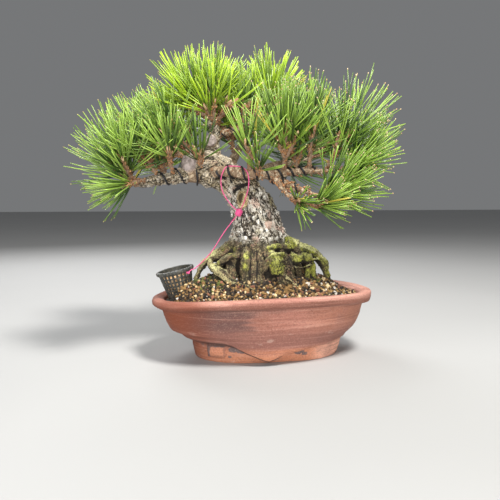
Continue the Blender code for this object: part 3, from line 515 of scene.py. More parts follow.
def relief(points, normals):
    # how far each point moves along its normal, and what the bark's colours read
    say = woodSettings
    noise.seed_set(say["seed"])
    which, places, found = localPlaces(points)
    kinds = [limbKind(name) for name in limbRuns]
    count = len(points)
    move = np.zeros(count)
    reads = {key: np.zeros(count) for key in ("raised", "plate", "moss", "cut")}
    for i in range(count):
        size, depth, _, lump = say["kinds"][kinds[which[i]]]
        where = Vector(places[i]) / size + Vector((which[i] * 7.3, 0, 0))   # no two limbs alike
        warp = noise.noise_vector(where * 0.5) * 1.3 + noise.noise_vector(where * 1.7) * 0.45
        near, seeds = noise.voronoi(where + warp)
        raised = min(1.0, (near[1] - near[0]) / say["crack"])
        raised = raised * raised * (3 - 2 * raised)
        plate = noise.cell(seeds[0] * 3.7)
        flake, _ = noise.voronoi((where + warp * 1.4) * 2.6)
        chip = min(1.0, (flake[1] - flake[0]) / say["chip"])
        spot = Vector(points[i])
        fine = noise.noise(spot * 1500)
        bulge = noise.noise(spot * 85) + noise.noise(spot * 210) * 0.45
        move[i] = depth * (raised * (0.35 + 0.65 * plate) - 0.62 + 0.62 * chip + 0.14 * fine)
        move[i] += lump * bulge
        reads["raised"][i] = raised * 0.45 + 0.55 * chip
        reads["plate"][i] = plate
    rooty, young = (np.array([kind == one for kind in kinds])[which] for one in ("root", "twig"))
    facing = normals[:, 2] * 0.5 + 0.5
    top, fade = say["mossTop"]
    reads["damp"] = within(points[:, 2], top, top - fade) * np.where(rooty, 1.0, 0.85)
    mossy = spotted(points, say["mossSpots"]) * (0.62 + 0.38 * facing)
    reads["moss"] = np.maximum(mossy, 0.22 * reads["damp"] * facing)
    reads["bare"] = spotted(points, say["bareSpots"])
    # lit and upward mark up-facing places, which the paint makes lighter: painted highlights
    reads["lit"] = spotted(points, say["litSpots"]) * within(normals[:, 2], -0.1, 0.75)
    reads["upward"] = within(normals[:, 2], 0.35, 0.95)
    reads["young"] = young * 1.0
    return move, reads, found, rooty


def averaged(values, edges, rounds):
    # each value becomes the mean of its neighbours' values, this many times
    starts, ends = np.concatenate((edges, edges[:, ::-1])).T
    near = np.bincount(starts, minlength=len(values))
    for _ in range(rounds):
        values = np.bincount(starts, weights=values[ends], minlength=len(values)) / near
    return values


def ridgesAndHollows(points, normals, edges):
    # how far each point stands out of (above 0) or lies in (below 0) the rounded form around it
    eased = np.column_stack([averaged(column, edges, woodSettings["wide"]) for column in points.T])
    return ((points - eased) * normals).sum(1)


def spotted(points, places):
    # how near each point is to one of these round places: its strength in the middle, 0 outside
    strongest = np.zeros(len(points))
    for *place, wide, share in places:
        gap = np.linalg.norm(points - np.array(place), axis=1) / wide
        strongest = np.maximum(strongest, share * within(gap, 1.3, 0.5))
    return strongest


def carve(points, move, reads):
    say = woodSettings
    place, wide, deep = say["knothole"]
    away = (points - np.array(place)) / (wide, wide, wide * 1.35)
    gap = np.linalg.norm(away, axis=1)
    hole = within(gap, 1.0, 0.55)
    lip = np.exp(-((gap - 1.12) / 0.22) ** 2)
    move = move * (1 - hole) - deep * hole + say["holeLip"] * lip
    reads["cut"] = np.maximum(reads["cut"], within(gap, 1.08, 0.85))
    # the hole's inner wall and its upper left side are painted darker: painted shade in the knothole
    shaded = within(away[:, 0] - away[:, 2] * 0.5, 0.45, -0.55) * within(gap, 0.95, 0.70)
    reads["rotten"] = within(gap, 0.72, 0.98) * 0.5 + shaded * 0.8
    # the small hole in the knob and the dark one among the roots: stretch, and where each ends and is full
    for hole, stretch, end, full in (("knobHole", (1, 1, 1), 1.0, 0.4), ("hollow", (0.8, 1, 1.2), 1.1, 0.3)):
        place, wide, deep = say[hole]
        gap = np.linalg.norm((points - np.array(place)) / (wide * np.array(stretch)), axis=1)
        move = move - deep * within(gap, end, full)
    place, wide, step, tall = say["wrinkles"]
    gap = np.linalg.norm(points - np.array(place), axis=1)
    gap = gap + 0.0009 * np.sin(points[:, 0] * 620 + points[:, 2] * 410)
    fold = np.cos(gap / step * fullTurn)
    near = within(gap, wide, wide * 0.75)
    move = move + tall * fold * near
    # the wrinkles' troughs lose their raised value, so the paint darkens them: painted shade in the troughs
    reads["raised"] = reads["raised"] * (1 - 0.8 * near * within(fold, -0.1, -0.8))
    deep, rows = say["crease"]
    crease = smoothRun(rows, 8)
    gap = np.min(np.linalg.norm(points[:, None] - crease[None], axis=2), axis=1)
    move = move - deep * within(gap, 0.0034, 0.0008)
    # the crease is painted dark as well as cut: painted shade in the crease
    reads["raised"] = reads["raised"] * (1 - within(gap, 0.0030, 0.0010))
    return move


def woodPaint():
    paint = Paint("old_bark", Roughness=0.88)
    soft, mix, patches, over = paint.soft, paint.mix, paint.patches, paint.over
    raised, plate, moss, cut, smooth, young, ridge = map(paint.reads, (
        "raised", "plate", "moss", "cut", "callus", "young", "ridge"))
    hollow, cream, rotten, damp, patch, upward, lit = map(paint.reads, (
        "hollow", "cream", "rotten", "damp", "bare", "upward", "lit"))
    height = paint.axis("Z")
    fine, speck = paint.noise(1100, 6), paint.cells(1700)
    flaky, broad = paint.noise(560, 5, rough=0.7), paint.noise(370, 6, rough=0.72)
    bark = paint.ramp(broad * 1.15 + flaky * 1.05 + plate * 0.20 - 0.73, (
        (0.20, (0.040, 0.030, 0.021)), (0.33, (0.21, 0.17, 0.12)), (0.42, (0.80, 0.75, 0.65)),
        (0.52, (0.38, 0.335, 0.265)), (0.62, (0.98, 0.95, 0.88))))
    skinned = mix(flaky, (0.46, 0.30, 0.23), (0.82, 0.60, 0.49))
    ochre = soft(height + paint.noise(50, 3) * 0.020, 0.160, 0.178)
    warm = mix(soft(flaky, 0.40, 0.60), (0.060, 0.043, 0.024), (0.52, 0.41, 0.25))
    bark = over(bark,
                (patches(42, 4, 0.54, 0.66) * 0.22, (0.060, 0.048, 0.034)),        # blotches
                (soft(paint.noise(95, 4) + patch * 0.25, 0.57, 0.66) * 0.8, skinned),
                (patches(60, 4, 0.52, 0.66) * 0.7, (0.25, 0.21, 0.10)),
                (ochre * 0.66, warm),
                (soft(speck, 0.32, 0.02) * 0.8, (0.07, 0.055, 0.045)))
    # near black in the cracks between plates and flakes: painted shade in the cracks
    bark = mix(soft(raised + patch * 0.3 + fine * 0.5 - 0.25, 0.20, 0.50), (0.014, 0.011, 0.008), bark)
    ring = mix(soft(fine + plate * 0.3, 0.45, 0.85), (0.25, 0.165, 0.10), (0.62, 0.49, 0.34))
    # the young bark's cracks darker too: painted shade
    ring = mix(soft(raised + fine * 0.6, 0.30, 0.75), (0.11, 0.07, 0.05), ring)
    low = soft(height + paint.noise(110, 4) * 0.020, 0.126, 0.114)
    rooty = over(mix(patches(150, 5, 0.36, 0.64), (0.024, 0.017, 0.010), (0.165, 0.118, 0.062)),
                 (patches(190, 3, 0.55, 0.66) * 0.7, (0.24, 0.115, 0.080)),
                 (soft(flaky, 0.52, 0.62) * 0.60, (0.50, 0.43, 0.21)),
                 # up-facing tops of the roots painted lighter: painted highlight; the pale roots' cream
                 # shows on their ridges, partly painted highlight too
                 (upward * soft(flaky + ridge * 0.3, 0.50, 0.80) * 0.6, (0.52, 0.47, 0.27)),
                 (cream * soft(ridge + flaky, 0.80, 1.30) * 0.85, (0.43, 0.37, 0.18)))
    # the roots' cracks near black: painted shade
    rooty = mix(soft(raised + fine * 0.6 - 0.3, 0.05, 0.50), (0.022, 0.016, 0.010), rooty)
    # moss on up-facing places and ridges painted pale: painted highlight
    upwardHighlight = (upward + ridge * 0.20) * soft(paint.noise(420, 5) + ridge * 0.1, 0.46, 0.62)
    green = over(mix(patches(260, 5, 0.40, 0.60), (0.026, 0.030, 0.006), (0.34, 0.36, 0.030)),
                 # moss ridges lighter: painted highlight
                 (soft(ridge, 0.45, 1.0) * 0.35, (0.44, 0.45, 0.070)),
                 (upwardHighlight * 0.85, (0.80, 0.80, 0.26)))
    # the moss's cracks near black: painted shade
    green = mix(soft(raised + fine * 0.6 - 0.3, 0.05, 0.45), (0.030, 0.028, 0.010), green)
    edges = paint.noise(120, 4) * 1.3 + paint.noise(620, 4, rough=0.7) * 1.0 - 0.45
    grown = moss + edges + ridge * 0.25 - cream * 0.40
    paintedLight = soft(lit + flaky * 1.6 + ridge * 0.1 - 0.80, 0.32, 0.80)
    pits = soft(paint.noise(640, 6, rough=0.78), 0.49, 0.40) * soft(damp, 0.35, 0.75)
    wood = over(mix(patches(700, 5, 0.40, 0.62), (0.30, 0.190, 0.060), (0.86, 0.73, 0.44)),
                # the knothole's painted shade
                (soft(rotten, 0.25, 0.75), (0.060, 0.042, 0.018)))
    callus = mix(patches(240, 4, 0.4, 0.65), (0.24, 0.195, 0.175), (0.47, 0.39, 0.36))
    paint.feed("Base Color", over(
        bark,
        (young, ring),
        (low * 0.45, (0.075, 0.066, 0.034)),                            # darker towards the soil
        (soft(damp * 0.9 + paint.noise(80, 4) * 0.9, 0.80, 1.25), rooty),
        (soft(grown, 0.95, 1.35) * damp * 0.35, (0.130, 0.122, 0.030)),    # a thin green film
        (soft(grown, 1.22, 1.66) * 0.95, green),
        # pale yellow-green patches where the light falls: painted highlight
        (paintedLight * 0.82, mix(flaky, (0.40, 0.39, 0.10), (0.90, 0.88, 0.50))),
        (pits * 0.90, (0.014, 0.012, 0.006)),
        # near black in the grooves and under the roots: painted shade
        (soft(hollow + fine * 0.5 - 0.25, 0.16, 0.62) * 0.95, (0.014, 0.010, 0.006)),
        (cut, wood),
        (smooth, callus)))
    paint.bump(fine + speck * 0.4, 0.8, 0.0008)
    return paint


def makeWood():
    say = woodSettings
    mesh = meltedLimbs()
    points, normals = (readRows(mesh.vertices, key, 3) for key in ("co", "normal"))
    edges = readRows(mesh.edges, "vertices", 2, int)
    faces = [list(face.vertices) for face in mesh.polygons]
    bpy.data.meshes.remove(mesh)
    stand = ridgesAndHollows(points, normals, edges)
    move, reads, found, rooty = relief(points, normals)
    eased = averaged(move, edges, 2)
    move = np.where(rooty, move * (1 - say["rootEase"]) + eased * say["rootEase"], move)
    reads["ridge"] = within(stand, 0.0001, 0.0014)
    # hollow: the grooves between roots and the undersides of roots low down, which the paint darkens:
    # painted shade
    under = within(normals[:, 2], 0.0, -0.6) * within(points[:, 2], 0.120, 0.095)
    groove = within(stand, 0.0001, -0.0009) * (1 - 0.65 * within(points[:, 2], 0.094, 0.106))
    reads["hollow"] = np.maximum(groove, under * 0.8)
    onPale, onKnob = (np.isin(found[:, 0].astype(int), [list(limbRuns).index(name) for name in names])
                      for names in (say["paleRoots"], knobRows))
    reads["cream"] = onPale * 1.0
    reads["callus"] = within(found[:, 1], 0.005, 0.009) * onKnob
    move = np.where(onKnob, move * (1 - 0.65 * reads["callus"]), move)
    move = carve(points, move, reads)
    wood = makePiece("bark", [(points + normals * move[:, None], [faces])], woodPaint(),
                     ("trunk", *rootRows, *boughRows))
    addReads(wood.data, reads)
    print("wood:", len(points), "points", len(faces), "faces")


makeWood()


# Foliage: bough, how far along it, heading and rise in degrees, stalk, shoots, spread, needle length,
# and the share of the pairs and of that length that it carries
massRows = {
    "crown_top": ("apex_stem", 1, -12, 86, 6, 4, 39, 50, 1, 0.86),
    "crown_left": ("apex_stem", 0.93, 172, 40, 11, 4, 38, 50, 1, 1),
    "crown_right_side": ("apex_stem", 0.84, -30, 45, 12, 3, 33, 46, 0.2, 1),
    "crown_front": ("apex_stem", 0.74, -104, 40, 11, 2, 30, 42, 0.6, 1),
    "crown_back": ("apex_stem", 0.68, 84, 42, 16, 4, 43, 50, 0.7, 1),
    "crown_right": ("crown_twig", 1, -18, 78, 8, 3, 38, 46, 1, 1),
    "crown_right_middle": ("crown_twig", 0.6, -30, 80, 6, 3, 31, 48, 0.4, 0.85),
    "crown_right_back": ("crown_twig", 0.8, 66, 40, 14, 4, 39, 48, 0.4, 1),
    "left_upper": ("left_upper_twig", 1, 172, 44, 16, 3, 32, 48, 0.65, 0.92),
    "left_shoulder": ("left_upper_twig", 0.6, 200, 34, 26, 3, 27, 46, 0.4, 1),
    "left_upper_back": ("left_upper_twig", 0.84, 118, 42, 20, 4, 37, 48, 0.35, 0.85),
    "left_tip_upper": ("left_bough", 0.8, 165, 58, 18, 3, 32, 50, 0.8, 1),
    "left_tip": ("left_bough", 1, 178, 52, 22, 4, 47, 52, 0.85, 1),
    "left_low": ("left_bough", 0.94, 186, -14, 10, 2, 34, 41, 1, 1),
    "left_front": ("left_bough", 0.62, -112, 46, 12, 2, 30, 42, 0.6, 1),
    "left_back": ("left_bough", 0.7, 104, 40, 18, 4, 35, 46, 0.7, 1),
    "right_inner": ("right_bough", 0.56, -96, 76, 26, 4, 31, 50, 0.85, 1),
    "right_upper": ("right_bough", 0.74, -82, 82, 27, 3, 26, 50, 0.85, 1),
    "right_far_upper": ("right_bough", 0.88, -14, 52, 26, 3, 24, 58, 0.7, 1),
    "right_outer": ("right_bough", 1, -20, 44, 9, 4, 34, 46, 0.75, 1),
    "right_outer_low": ("right_bough", 0.94, -40, 4, 7, 2, 26, 42, 0.8, 1),
    "right_behind": ("right_bough", 0.66, 74, 52, 24, 4, 35, 48, 0.55, 1),
    "right_low_outer": ("right_low_bough", 1, -18, 0, 14, 4, 31, 48, 1, 1),
    "right_low_front": ("thin_low_bough", 1, -26, -2, 10, 3, 26, 34, 1.2, 1),
    "right_low_inner": ("thin_low_bough", 0.78, -84, -14, 6, 2, 24, 26, 0.5, 1),
    "front_low": ("right_bough", 0.36, -104, 4, 5, 1, 20, 32, 0.8, 1),
    "front_middle": ("right_bough", 0.3, -106, 60, 12, 2, 30, 44, 0.5, 1),
    "front_left": ("left_bough", 0.34, -112, 44, 7, 2, 30, 42, 0.35, 1),
    "back_middle": ("back_bough", 1, 88, 44, 14, 5, 45, 50, 1, 1),
    "back_upper": ("back_bough", 0.55, 96, 72, 24, 4, 37, 50, 0.5, 1),
    "back_right": ("back_right_bough", 1, 20, 36, 16, 5, 43, 50, 1, 1),
    "back_low_right": ("back_right_bough", 0.66, 50, 2, 14, 4, 37, 46, 1, 1),
    "back_left": ("back_left_bough", 1, 134, 34, 14, 5, 45, 50, 1, 1),
    "back_low_left": ("back_left_bough", 0.66, 106, 10, 12, 4, 35, 44, 1, 1),
}
shootSettings = {
    "seed": 4240,
    "gap": 0.0003,           # between a stem and its bough, as in the source
    "stemSeat": 0.0030,
    "length": 0.0090,
    "lift": 0.22,
    "forkShare": 0.5,
    "forkStep": 0.22,
    "twigLengths": (0.85, 1.25),
    "needleLengths": (0.82, 1.04),
    "sourceNeedles": 20,     # draws that the source makes for each shoot
    "hangingRise": -10,      # masses that point lower than this aren't lifted
}
needleSettings = {
    "pairs": 20,             # needle pairs on each shoot
    "pairSpread": (0.8, 1.15),
    "leans": (56, 4),        # degrees from the shoot's axis, at its foot and at its tip
    "leanSway": 18,
    "leanCurve": 0.85,
    "turnSway": (-0.4, 0.4),
    "past": 1.15,            # share of the shoot's length that pairs stand on
    "seats": (0.0009, 0.0014),   # off the axis, on the shoot and on the twig below it
    "lowPlaces": (0.1, 1.0),
    "lift": 0.08,
    "bend": (0.055, 0.05),   # upward sweep, and how much it varies
    "sideBend": 0.045,
    "sizes": (0.89, 0.085),  # share of the mass's needle length, and how much it varies
    "sizeLimits": (0.62, 0.95),
    "low": (16, 0.40, 52),   # stalks longer than this carry this share more, leaning so far
    "pairOpening": 5.0,
    "openingSway": (0.5, 1.5),
    "pairSeat": (0.002, 0.0003),   # how far ahead of and beside the pair's root each needle starts
    "twinSizes": (0.94, 1.02),
    "strawChance": 0.013,
    "sheath": (0.0034, 0.0012),   # length, and how much longer it can be
    "shares": (0.0, 0.3, 0.68, 1.0),   # where along the needle its rings are, and their radii
    "radii": (0.00043, 0.00058, 0.00057, 0.00033),
    "clear": 0.0009,         # room that each needle keeps from the wood
    "perPiece": 6900,
    "sides": 4,
}
# the back masses also take 'shade', a darker copy of the needles: painted shade
toneNames = {
    "crown": ("lime", "lime", "leaf"),
    "left": ("leaf", "leaf", "leaf"),
    "right": ("deep", "leaf", "deep"),
    "front": ("leaf", "deep", "leaf"),
    "back": ("deep", "leaf", "shade"),
}
toneColours = {
    "lime": ((0.47, 0.67, 0.042), (0.080, 0.165, 0.010)),
    "leaf": ((0.36, 0.54, 0.084), (0.038, 0.095, 0.012)),
    "deep": ((0.255, 0.41, 0.050), (0.024, 0.064, 0.008)),
    "shade": ((0.16, 0.29, 0.048), (0.017, 0.047, 0.008)),
    "straw": ((0.60, 0.50, 0.07), (0.46, 0.42, 0.06)),
}


def placeOn(run, share):
    # middle, direction and radius at this share of a limb's length
    lengths = [np.linalg.norm(b[:3] - a[:3]) for a, b in zip(run, run[1:])]
    left = share * sum(lengths)
    for a, b, length in zip(run, run[1:], lengths):
        if left <= length:
            row = a + (b - a) * (left / length)
            return Vector(row[:3]), Vector(b[:3] - a[:3]).normalized(), row[3]
        left -= length
    return Vector(run[-1][:3]), Vector(run[-1][:3] - run[-2][:3]).normalized(), run[-1][3]


def heading(azimuth, rise):
    flat = math.cos(math.radians(rise))
    return Vector((flat * math.cos(math.radians(azimuth)), flat * math.sin(math.radians(azimuth)),
                   math.sin(math.radians(rise))))


def fanned(axis, lean, turn, lift):
    # a direction that leans away from the axis, turned round it, and lifted a little
    side = axis.orthogonal().normalized()
    other = axis.cross(side)
    out = side * math.cos(turn) + other * math.sin(turn)
    return (axis * math.cos(lean) + out * math.sin(lean) + Vector((0, 0, lift))).normalized()


def planMass(name, number):
    # the same stem, forks and shoots as the source's mass, from the same draws
    bough, share, azimuth, rise, stalk, shoots, spread, needle = massRows[name][:8]
    stalk, needle = inMetres((stalk, needle))
    say = shootSettings
    chance = random.Random(say["seed"] + number)
    middle, along, radius = placeOn(smoothRun(boughRows[bough], 3), share)
    axis = heading(azimuth, rise)
    if share == 1:
        out, start = along, middle + along * say["gap"]
    else:
        out = (axis - along * axis.dot(along)).normalized()
        start = middle + out * radius
    seat = start + out * say["stemSeat"]
    phase = chance.uniform(0, fullTurn)
    plan = []
    for i in range(shoots):
        lean = math.radians(spread) * math.sqrt((i + 0.5) / shoots)
        way = fanned(axis, lean, phase + goldenTurn * i, say["lift"] * 0.5)
        fork = seat + axis * stalk * say["forkShare"] * (1 - say["forkStep"] * i)
        twig = stalk * (1 - say["forkShare"]) * chance.uniform(*say["twigLengths"])
        grown = fanned(way, 0.0, 0.0, say["lift"] if rise > say["hangingRise"] else 0.0)
        for _ in range(say["sourceNeedles"]):
            chance.uniform(-1, 1)
            chance.uniform(-1, 1)
            chance.uniform(*say["needleLengths"])
        root = start - out * radius * 0.5
        run = [root, start, seat, fork] if i == 0 else [fork]
        plan.append({"mass": name, "run": run + [fork + way * twig], "start": fork + way * twig,
                     "way": grown, "needle": needle})
    return plan


def growNeedles(shoots):
    # roots, directions, lengths and tones of every needle, and the sheath of each pair
    say = needleSettings
    longStalk, more, lowLean = say["low"]
    footLean, tipLean = say["leans"]
    shortest, longest = say["sizeLimits"]
    ahead, beside = say["pairSeat"]
    chance = random.Random(shootSettings["seed"] + 1000)
    needles, sheaths = [], []
    for shoot in shoots:
        mass, way, start = shoot["mass"], shoot["way"], shoot["start"]
        stalk, full, reach = massRows[mass][4], massRows[mass][8], massRows[mass][9]
        tones = toneNames[mass.split("_")[0]]
        tone = tones[chance.randrange(len(tones))]
        phase = chance.uniform(0, fullTurn)
        pairs = round(say["pairs"] * full * chance.uniform(*say["pairSpread"]))
        extra = round(pairs * more) if stalk > longStalk else 0
        for i in range(pairs + extra):
            up = (i + 0.5) / pairs if i < pairs else 0.0
            lean = footLean + (tipLean - footLean) * up ** say["leanCurve"]
            lean = math.radians((lean if i < pairs else lowLean) + chance.uniform(-1, 1) * say["leanSway"])
            turn = phase + goldenTurn * i + chance.uniform(*say["turnSway"])
            grow = fanned(way, lean, turn, say["lift"])
            radial = fanned(way, math.pi / 2, turn, 0.0)
            root = start + way * shootSettings["length"] * say["past"] * up + radial * say["seats"][0]
            if i >= pairs:
                down = (shoot["run"][-2] - start) * chance.uniform(*say["lowPlaces"])
                root = start + down + radial * say["seats"][1]
            length = shoot["needle"] * min(longest, max(shortest, chance.gauss(*say["sizes"])))
            length *= reach
            sheaths.append((root, grow, say["sheath"][0] + say["sheath"][1] * chance.random()))
            split = math.radians(say["pairOpening"]) * chance.uniform(*say["openingSway"])
            across = grow.cross(Vector((chance.uniform(-1, 1), chance.uniform(-1, 1), 0.4))).normalized()
            dried = chance.random() < say["strawChance"] and not mass.endswith("low")
            for side in (-1, 1):
                aim = (grow + across * side * math.tan(split / 2)).normalized()
                bend = Vector((chance.gauss(0, say["sideBend"]), chance.gauss(0, say["sideBend"]),
                               chance.gauss(*say["bend"])))
                bend -= across * side * split * 0.3
                needles.append((*(root + grow * ahead + across * side * beside), *aim,
                                length * chance.uniform(*say["twinSizes"]), *bend,
                                "straw" if dried else tone, mass))
    return needles, sheaths


def needleRuns(rows, shares):
    roots, aims = rows[:, 0:3], rows[:, 3:6]
    lengths, bends = rows[:, 6], rows[:, 7:10]
    t = np.asarray(shares)[None, :, None]
    return roots[:, None] + lengths[:, None, None] * (aims[:, None] * t + bends[:, None] * t * t)


def needlePaint(tone):
    paint = Paint("needle_" + tone, Coat_Weight=0.28, Coat_Roughness=0.24)
    light, dark = toneColours[tone]
    # each pair's own tone, with painted shade towards each needle's foot
    share = paint.soft(paint.reads("bright") * 0.8 + paint.noise(85, 4) * 0.5, 0.35, 0.95)
    paint.feed("Base Color", paint.mix(share, dark, light))
    paint.feed("Roughness", paint.noise(160, 2) * 0.25 + 0.28)
    paint.bump(paint.noise(2600, 2), 0.15, 0.0002)
    return paint


def tipPaint(name, light, dark):
    paint = Paint(name, Roughness=0.75)
    paint.feed("Base Color", paint.mix(paint.patches(310, 3, 0.38, 0.62), dark, light))
    paint.bump(paint.noise(1900, 3), 0.4, 0.0003)
    return paint


def makeNeedles(shoots):
    say = needleSettings
    needles, sheaths = growNeedles(shoots)
    rows = np.array([needle[:10] for needle in needles])
    tones, masses = (np.array([needle[column] for needle in needles]) for column in (10, 11))
    tests = needleRuns(rows, (0.2, 0.45, 0.7, 1.0))
    thick = [run for name, run in limbRuns.items() if name not in thinRows]
    found = nearestOnRuns(tests.reshape(-1, 3), thick)
    room = np.linalg.norm(found[:, 2:5], axis=1) - found[:, 5]
    free = room.reshape(-1, tests.shape[1]).min(1) > say["clear"]
    print("needles:", int(free.sum()), "of", len(free))
    # each pair has its own tone, and every needle is darker at its foot and brighter at its tip: painted
    # shade at the foot, painted light at the tip
    own = np.repeat(np.random.default_rng(31).uniform(0, 1, len(rows) // 2), 2)
    along = np.repeat(say["shares"], say["sides"])
    for tone in toneColours:
        mine = np.nonzero(free & (tones == tone))[0]
        paint = needlePaint(tone)
        pieces = max(1, math.ceil(len(mine) / say["perPiece"]))
        for number, part in enumerate(np.array_split(mine, pieces)):
            tuft = makePiece("needles_" + tone + (str(number + 1) if pieces > 1 else ""),
                             [rods(needleRuns(rows[part], say["shares"]), say["radii"], say["sides"])],
                             paint, sorted(set(masses[part])))
            addReads(tuft.data, {"bright": (own[part][:, None] * 0.65 + along[None] * 0.35).ravel()})
    makeTips(rows[free], masses[free])
    makeSheaths(sheaths)


tipSettings = {
    "shares": (0.985, 1.0, 1.012),
    "tippedOf": (3, 7),      # this many needles in so many have a dry tip
    # the paint's name, radii, and the colours' light and dark end
    "tips_cut": ("cut_tip", (0.00044, 0.00054, 0.00032), (0.78, 0.62, 0.38), (0.52, 0.33, 0.16)),
    "tips_fine": ("fine_tip", (0.00036, 0.00034, 0.00012), (0.62, 0.50, 0.20), (0.42, 0.34, 0.10)),
    "sheathShares": (-0.25, 0.45, 1.0),
    "sheathRadii": (0.0008, 0.00088, 0.00062),
}


def makeTips(rows, masses):
    # cut ends at the right and the front, fine points elsewhere
    say = tipSettings
    cutSide = np.array([name.startswith(("right", "front")) for name in masses])
    some, outOf = say["tippedOf"]
    tipped = np.arange(len(rows)) % outOf < some
    ends = needleRuns(rows, say["shares"])
    for name, mine in (("tips_cut", cutSide & tipped), ("tips_fine", ~cutSide & tipped)):
        paintName, radii, light, dark = say[name]
        makePiece(name, [rods(ends[mine], radii, 4)], tipPaint(paintName, light, dark))


def makeSheaths(sheaths):
    roots, aims, lengths = (np.array([sheath[i] for sheath in sheaths]) for i in range(3))
    along = (lengths[:, None] * tipSettings["sheathShares"])[:, :, None]
    runs = roots[:, None] + aims[:, None] * along
    makePiece("needle_sheaths", [rods(runs, tipSettings["sheathRadii"], 5)],
              tipPaint("sheath", (0.46, 0.27, 0.12), (0.20, 0.10, 0.045)))


twigSettings = {
    "seed": 77,
    "points": 9,
    "reach": 0.0105,         # how far a twig goes on inside its shoot
    "radii": (0.0019, 0.0015),
    "sway": (0.85, 1.25),
    "scales": 34,            # dry scales on each twig
    "scaleLengths": (0.0016, 0.0034),
    "scaleFoot": 0.0012,
    "scaleRadii": (0.0008, 0.0007, 0.00015),
    "dryBoughs": ("right_bough", "right_low_bough", "thin_low_bough", "crown_twig", "left_upper_twig"),
    "budLengths": (0.0190, 0.0070),   # of the leading bud, and of the others
    "budFoot": 0.0092,
    "budShape": ((0, 0.2, 0.45, 0.7, 0.9, 1.0), (0.0011, 0.0017, 0.0019, 0.0015, 0.0008, 0.0002)),
}


def makeTwigs(shoots):
    say = twigSettings
    chance = np.random.default_rng(say["seed"])
    count = say["points"]
    runs = np.array([evenRun([*shoot["run"], shoot["start"] + shoot["way"] * say["reach"]], count)
                     for shoot in shoots])
    wide = np.linspace(*say["radii"], count) * chance.uniform(*say["sway"], (len(runs), count))
    paint = Paint("young_bark", Roughness=0.85)
    scale = paint.cells(900)
    colour = paint.mix(paint.noise(240, 4), (0.17, 0.10, 0.06), (0.42, 0.29, 0.19))
    paint.feed("Base Color", paint.mix(paint.soft(scale, 0.0, 0.5), (0.06, 0.032, 0.02), colour))
    paint.bump(scale, 0.7, 0.0006)
    makePiece("twigs", [rods(runs, wide, 8)], paint)
    dry = [run for name in say["dryBoughs"] for run in [evenRun(boughRows[name], count)] * 2]
    thick = [say["scaleFoot"]] * len(runs) + [run[4, 3] for run in dry]
    bits = []
    for run, foot in zip((*runs, *(run[:, :3] for run in dry)), thick):
        along = unit(np.gradient(run, axis=0))
        for _ in range(say["scales"]):
            at = chance.uniform(0, count - 1.01)
            i = int(at)
            out = unit(np.cross(along[i], chance.normal(size=3)))
            root = run[i] + (run[i + 1] - run[i]) * (at - i) + out * foot
            aim = unit(along[i] + out * chance.uniform(0.4, 1.1))
            size = chance.uniform(*say["scaleLengths"])
            bits.append((root, root + aim * size * 0.5 + out * 0.0002, root + aim * size))
    makePiece("bud_scales", [rods(bits, say["scaleRadii"], 4)],
              tipPaint("bud_scale", (0.50, 0.25, 0.11), (0.20, 0.085, 0.04)))


def makeBuds(shoots):
    say = twigSettings
    shares, radii = say["budShape"]
    buds = []
    for number, shoot in enumerate(shoots):
        long = say["budLengths"][0 if number == 0 else 1]
        foot = shoot["start"] + shoot["way"] * say["budFoot"]
        buds.append([tuple(foot + shoot["way"] * long * t) for t in shares])
    makePiece("buds", [rods(buds, radii, 10)], tipPaint("bud", (0.66, 0.46, 0.27), (0.40, 0.21, 0.10)))


allShoots = [shoot for number, name in enumerate(massRows) for shoot in planMass(name, number)]
makeNeedles(allShoots)
makeTwigs(allShoots)
makeBuds(allShoots)
print("shoots:", len(allShoots))


# Training wire: which limb, from and to which share of it, turns, and the wire's radius in millimetres
wireRows = (
    ("right_bough", 0.08, 0.78, 8, 1.05),
    ("left_bough", 0.30, 0.80, 3, 1.05),
    ("right_low_bough", 0.08, 0.86, 3, 0.95),
    ("crown_twig", 0.12, 0.80, 3, 0.75),
)


def makeWires():
    chunks = []
    for name, low, high, turns, radius in wireRows:
        radius = inMetres(radius)
        steps = turns * 16
        middle = []
        for i in range(steps + 1):
            place, along, limb = placeOn(limbRuns[name], low + (high - low) * i / steps)
            across = along.cross(Vector((0, 0.2, 1))).normalized()
            turn = fullTurn * turns * i / steps + 0.35 * math.sin(i * 0.13)
            out = across * math.cos(turn) + along.cross(across) * math.sin(turn)
            middle.append(tuple(place + out * (limb + radius * 0.9)))
        chunks.append(rods([middle], radius, 8))
    paint = Paint("training_wire", Metallic=0.35)
    paler = paint.patches(700, 4, 0.55, 0.75)
    paint.feed("Base Color", paint.mix(paler, (0.018, 0.017, 0.019), (0.095, 0.07, 0.055)))
    paint.feed("Roughness", paint.noise(400, 3) * 0.3 + 0.28)
    paint.bump(paint.noise(1500, 3), 0.2, 0.0002)
    makePiece("training_wire", chunks, paint)


tieSettings = inMetres({
    "radius": 0.5,
    "bead": (-27.5, -18.8, 136.2),
    "loop": ((-28.5, -19, 137.5), (-36, -18, 145), (-42.5, -17, 156), (-43.5, -16.5, 168),
             (-39.5, -17.5, 177.3), (-33, -16.5, 178.7), (-24.5, -19.5, 177.6), (-20.5, -25.8, 171.5),
             (-19.5, -24.5, 160), (-22.5, -20.5, 147), (-26.5, -18.8, 137.5)),
    "tail": ((-27.5, -18.8, 136), (-41, -16.5, 118), (-53, -13.5, 99), (-66, -10, 85.5),
             (-71.2, -15, 83.8), (-74.8, -18.2, 81.5)),
    "beadProfile": ((0.9, -3.3), (1.9, -3.4), (2.6, -2.9), (3.1, -1.8), (3.3, 0), (3.1, 1.8),
                    (2.6, 2.9), (1.9, 3.4), (0.9, 3.3)),
    "knot": (1.2, 1.4, 0.8),
})


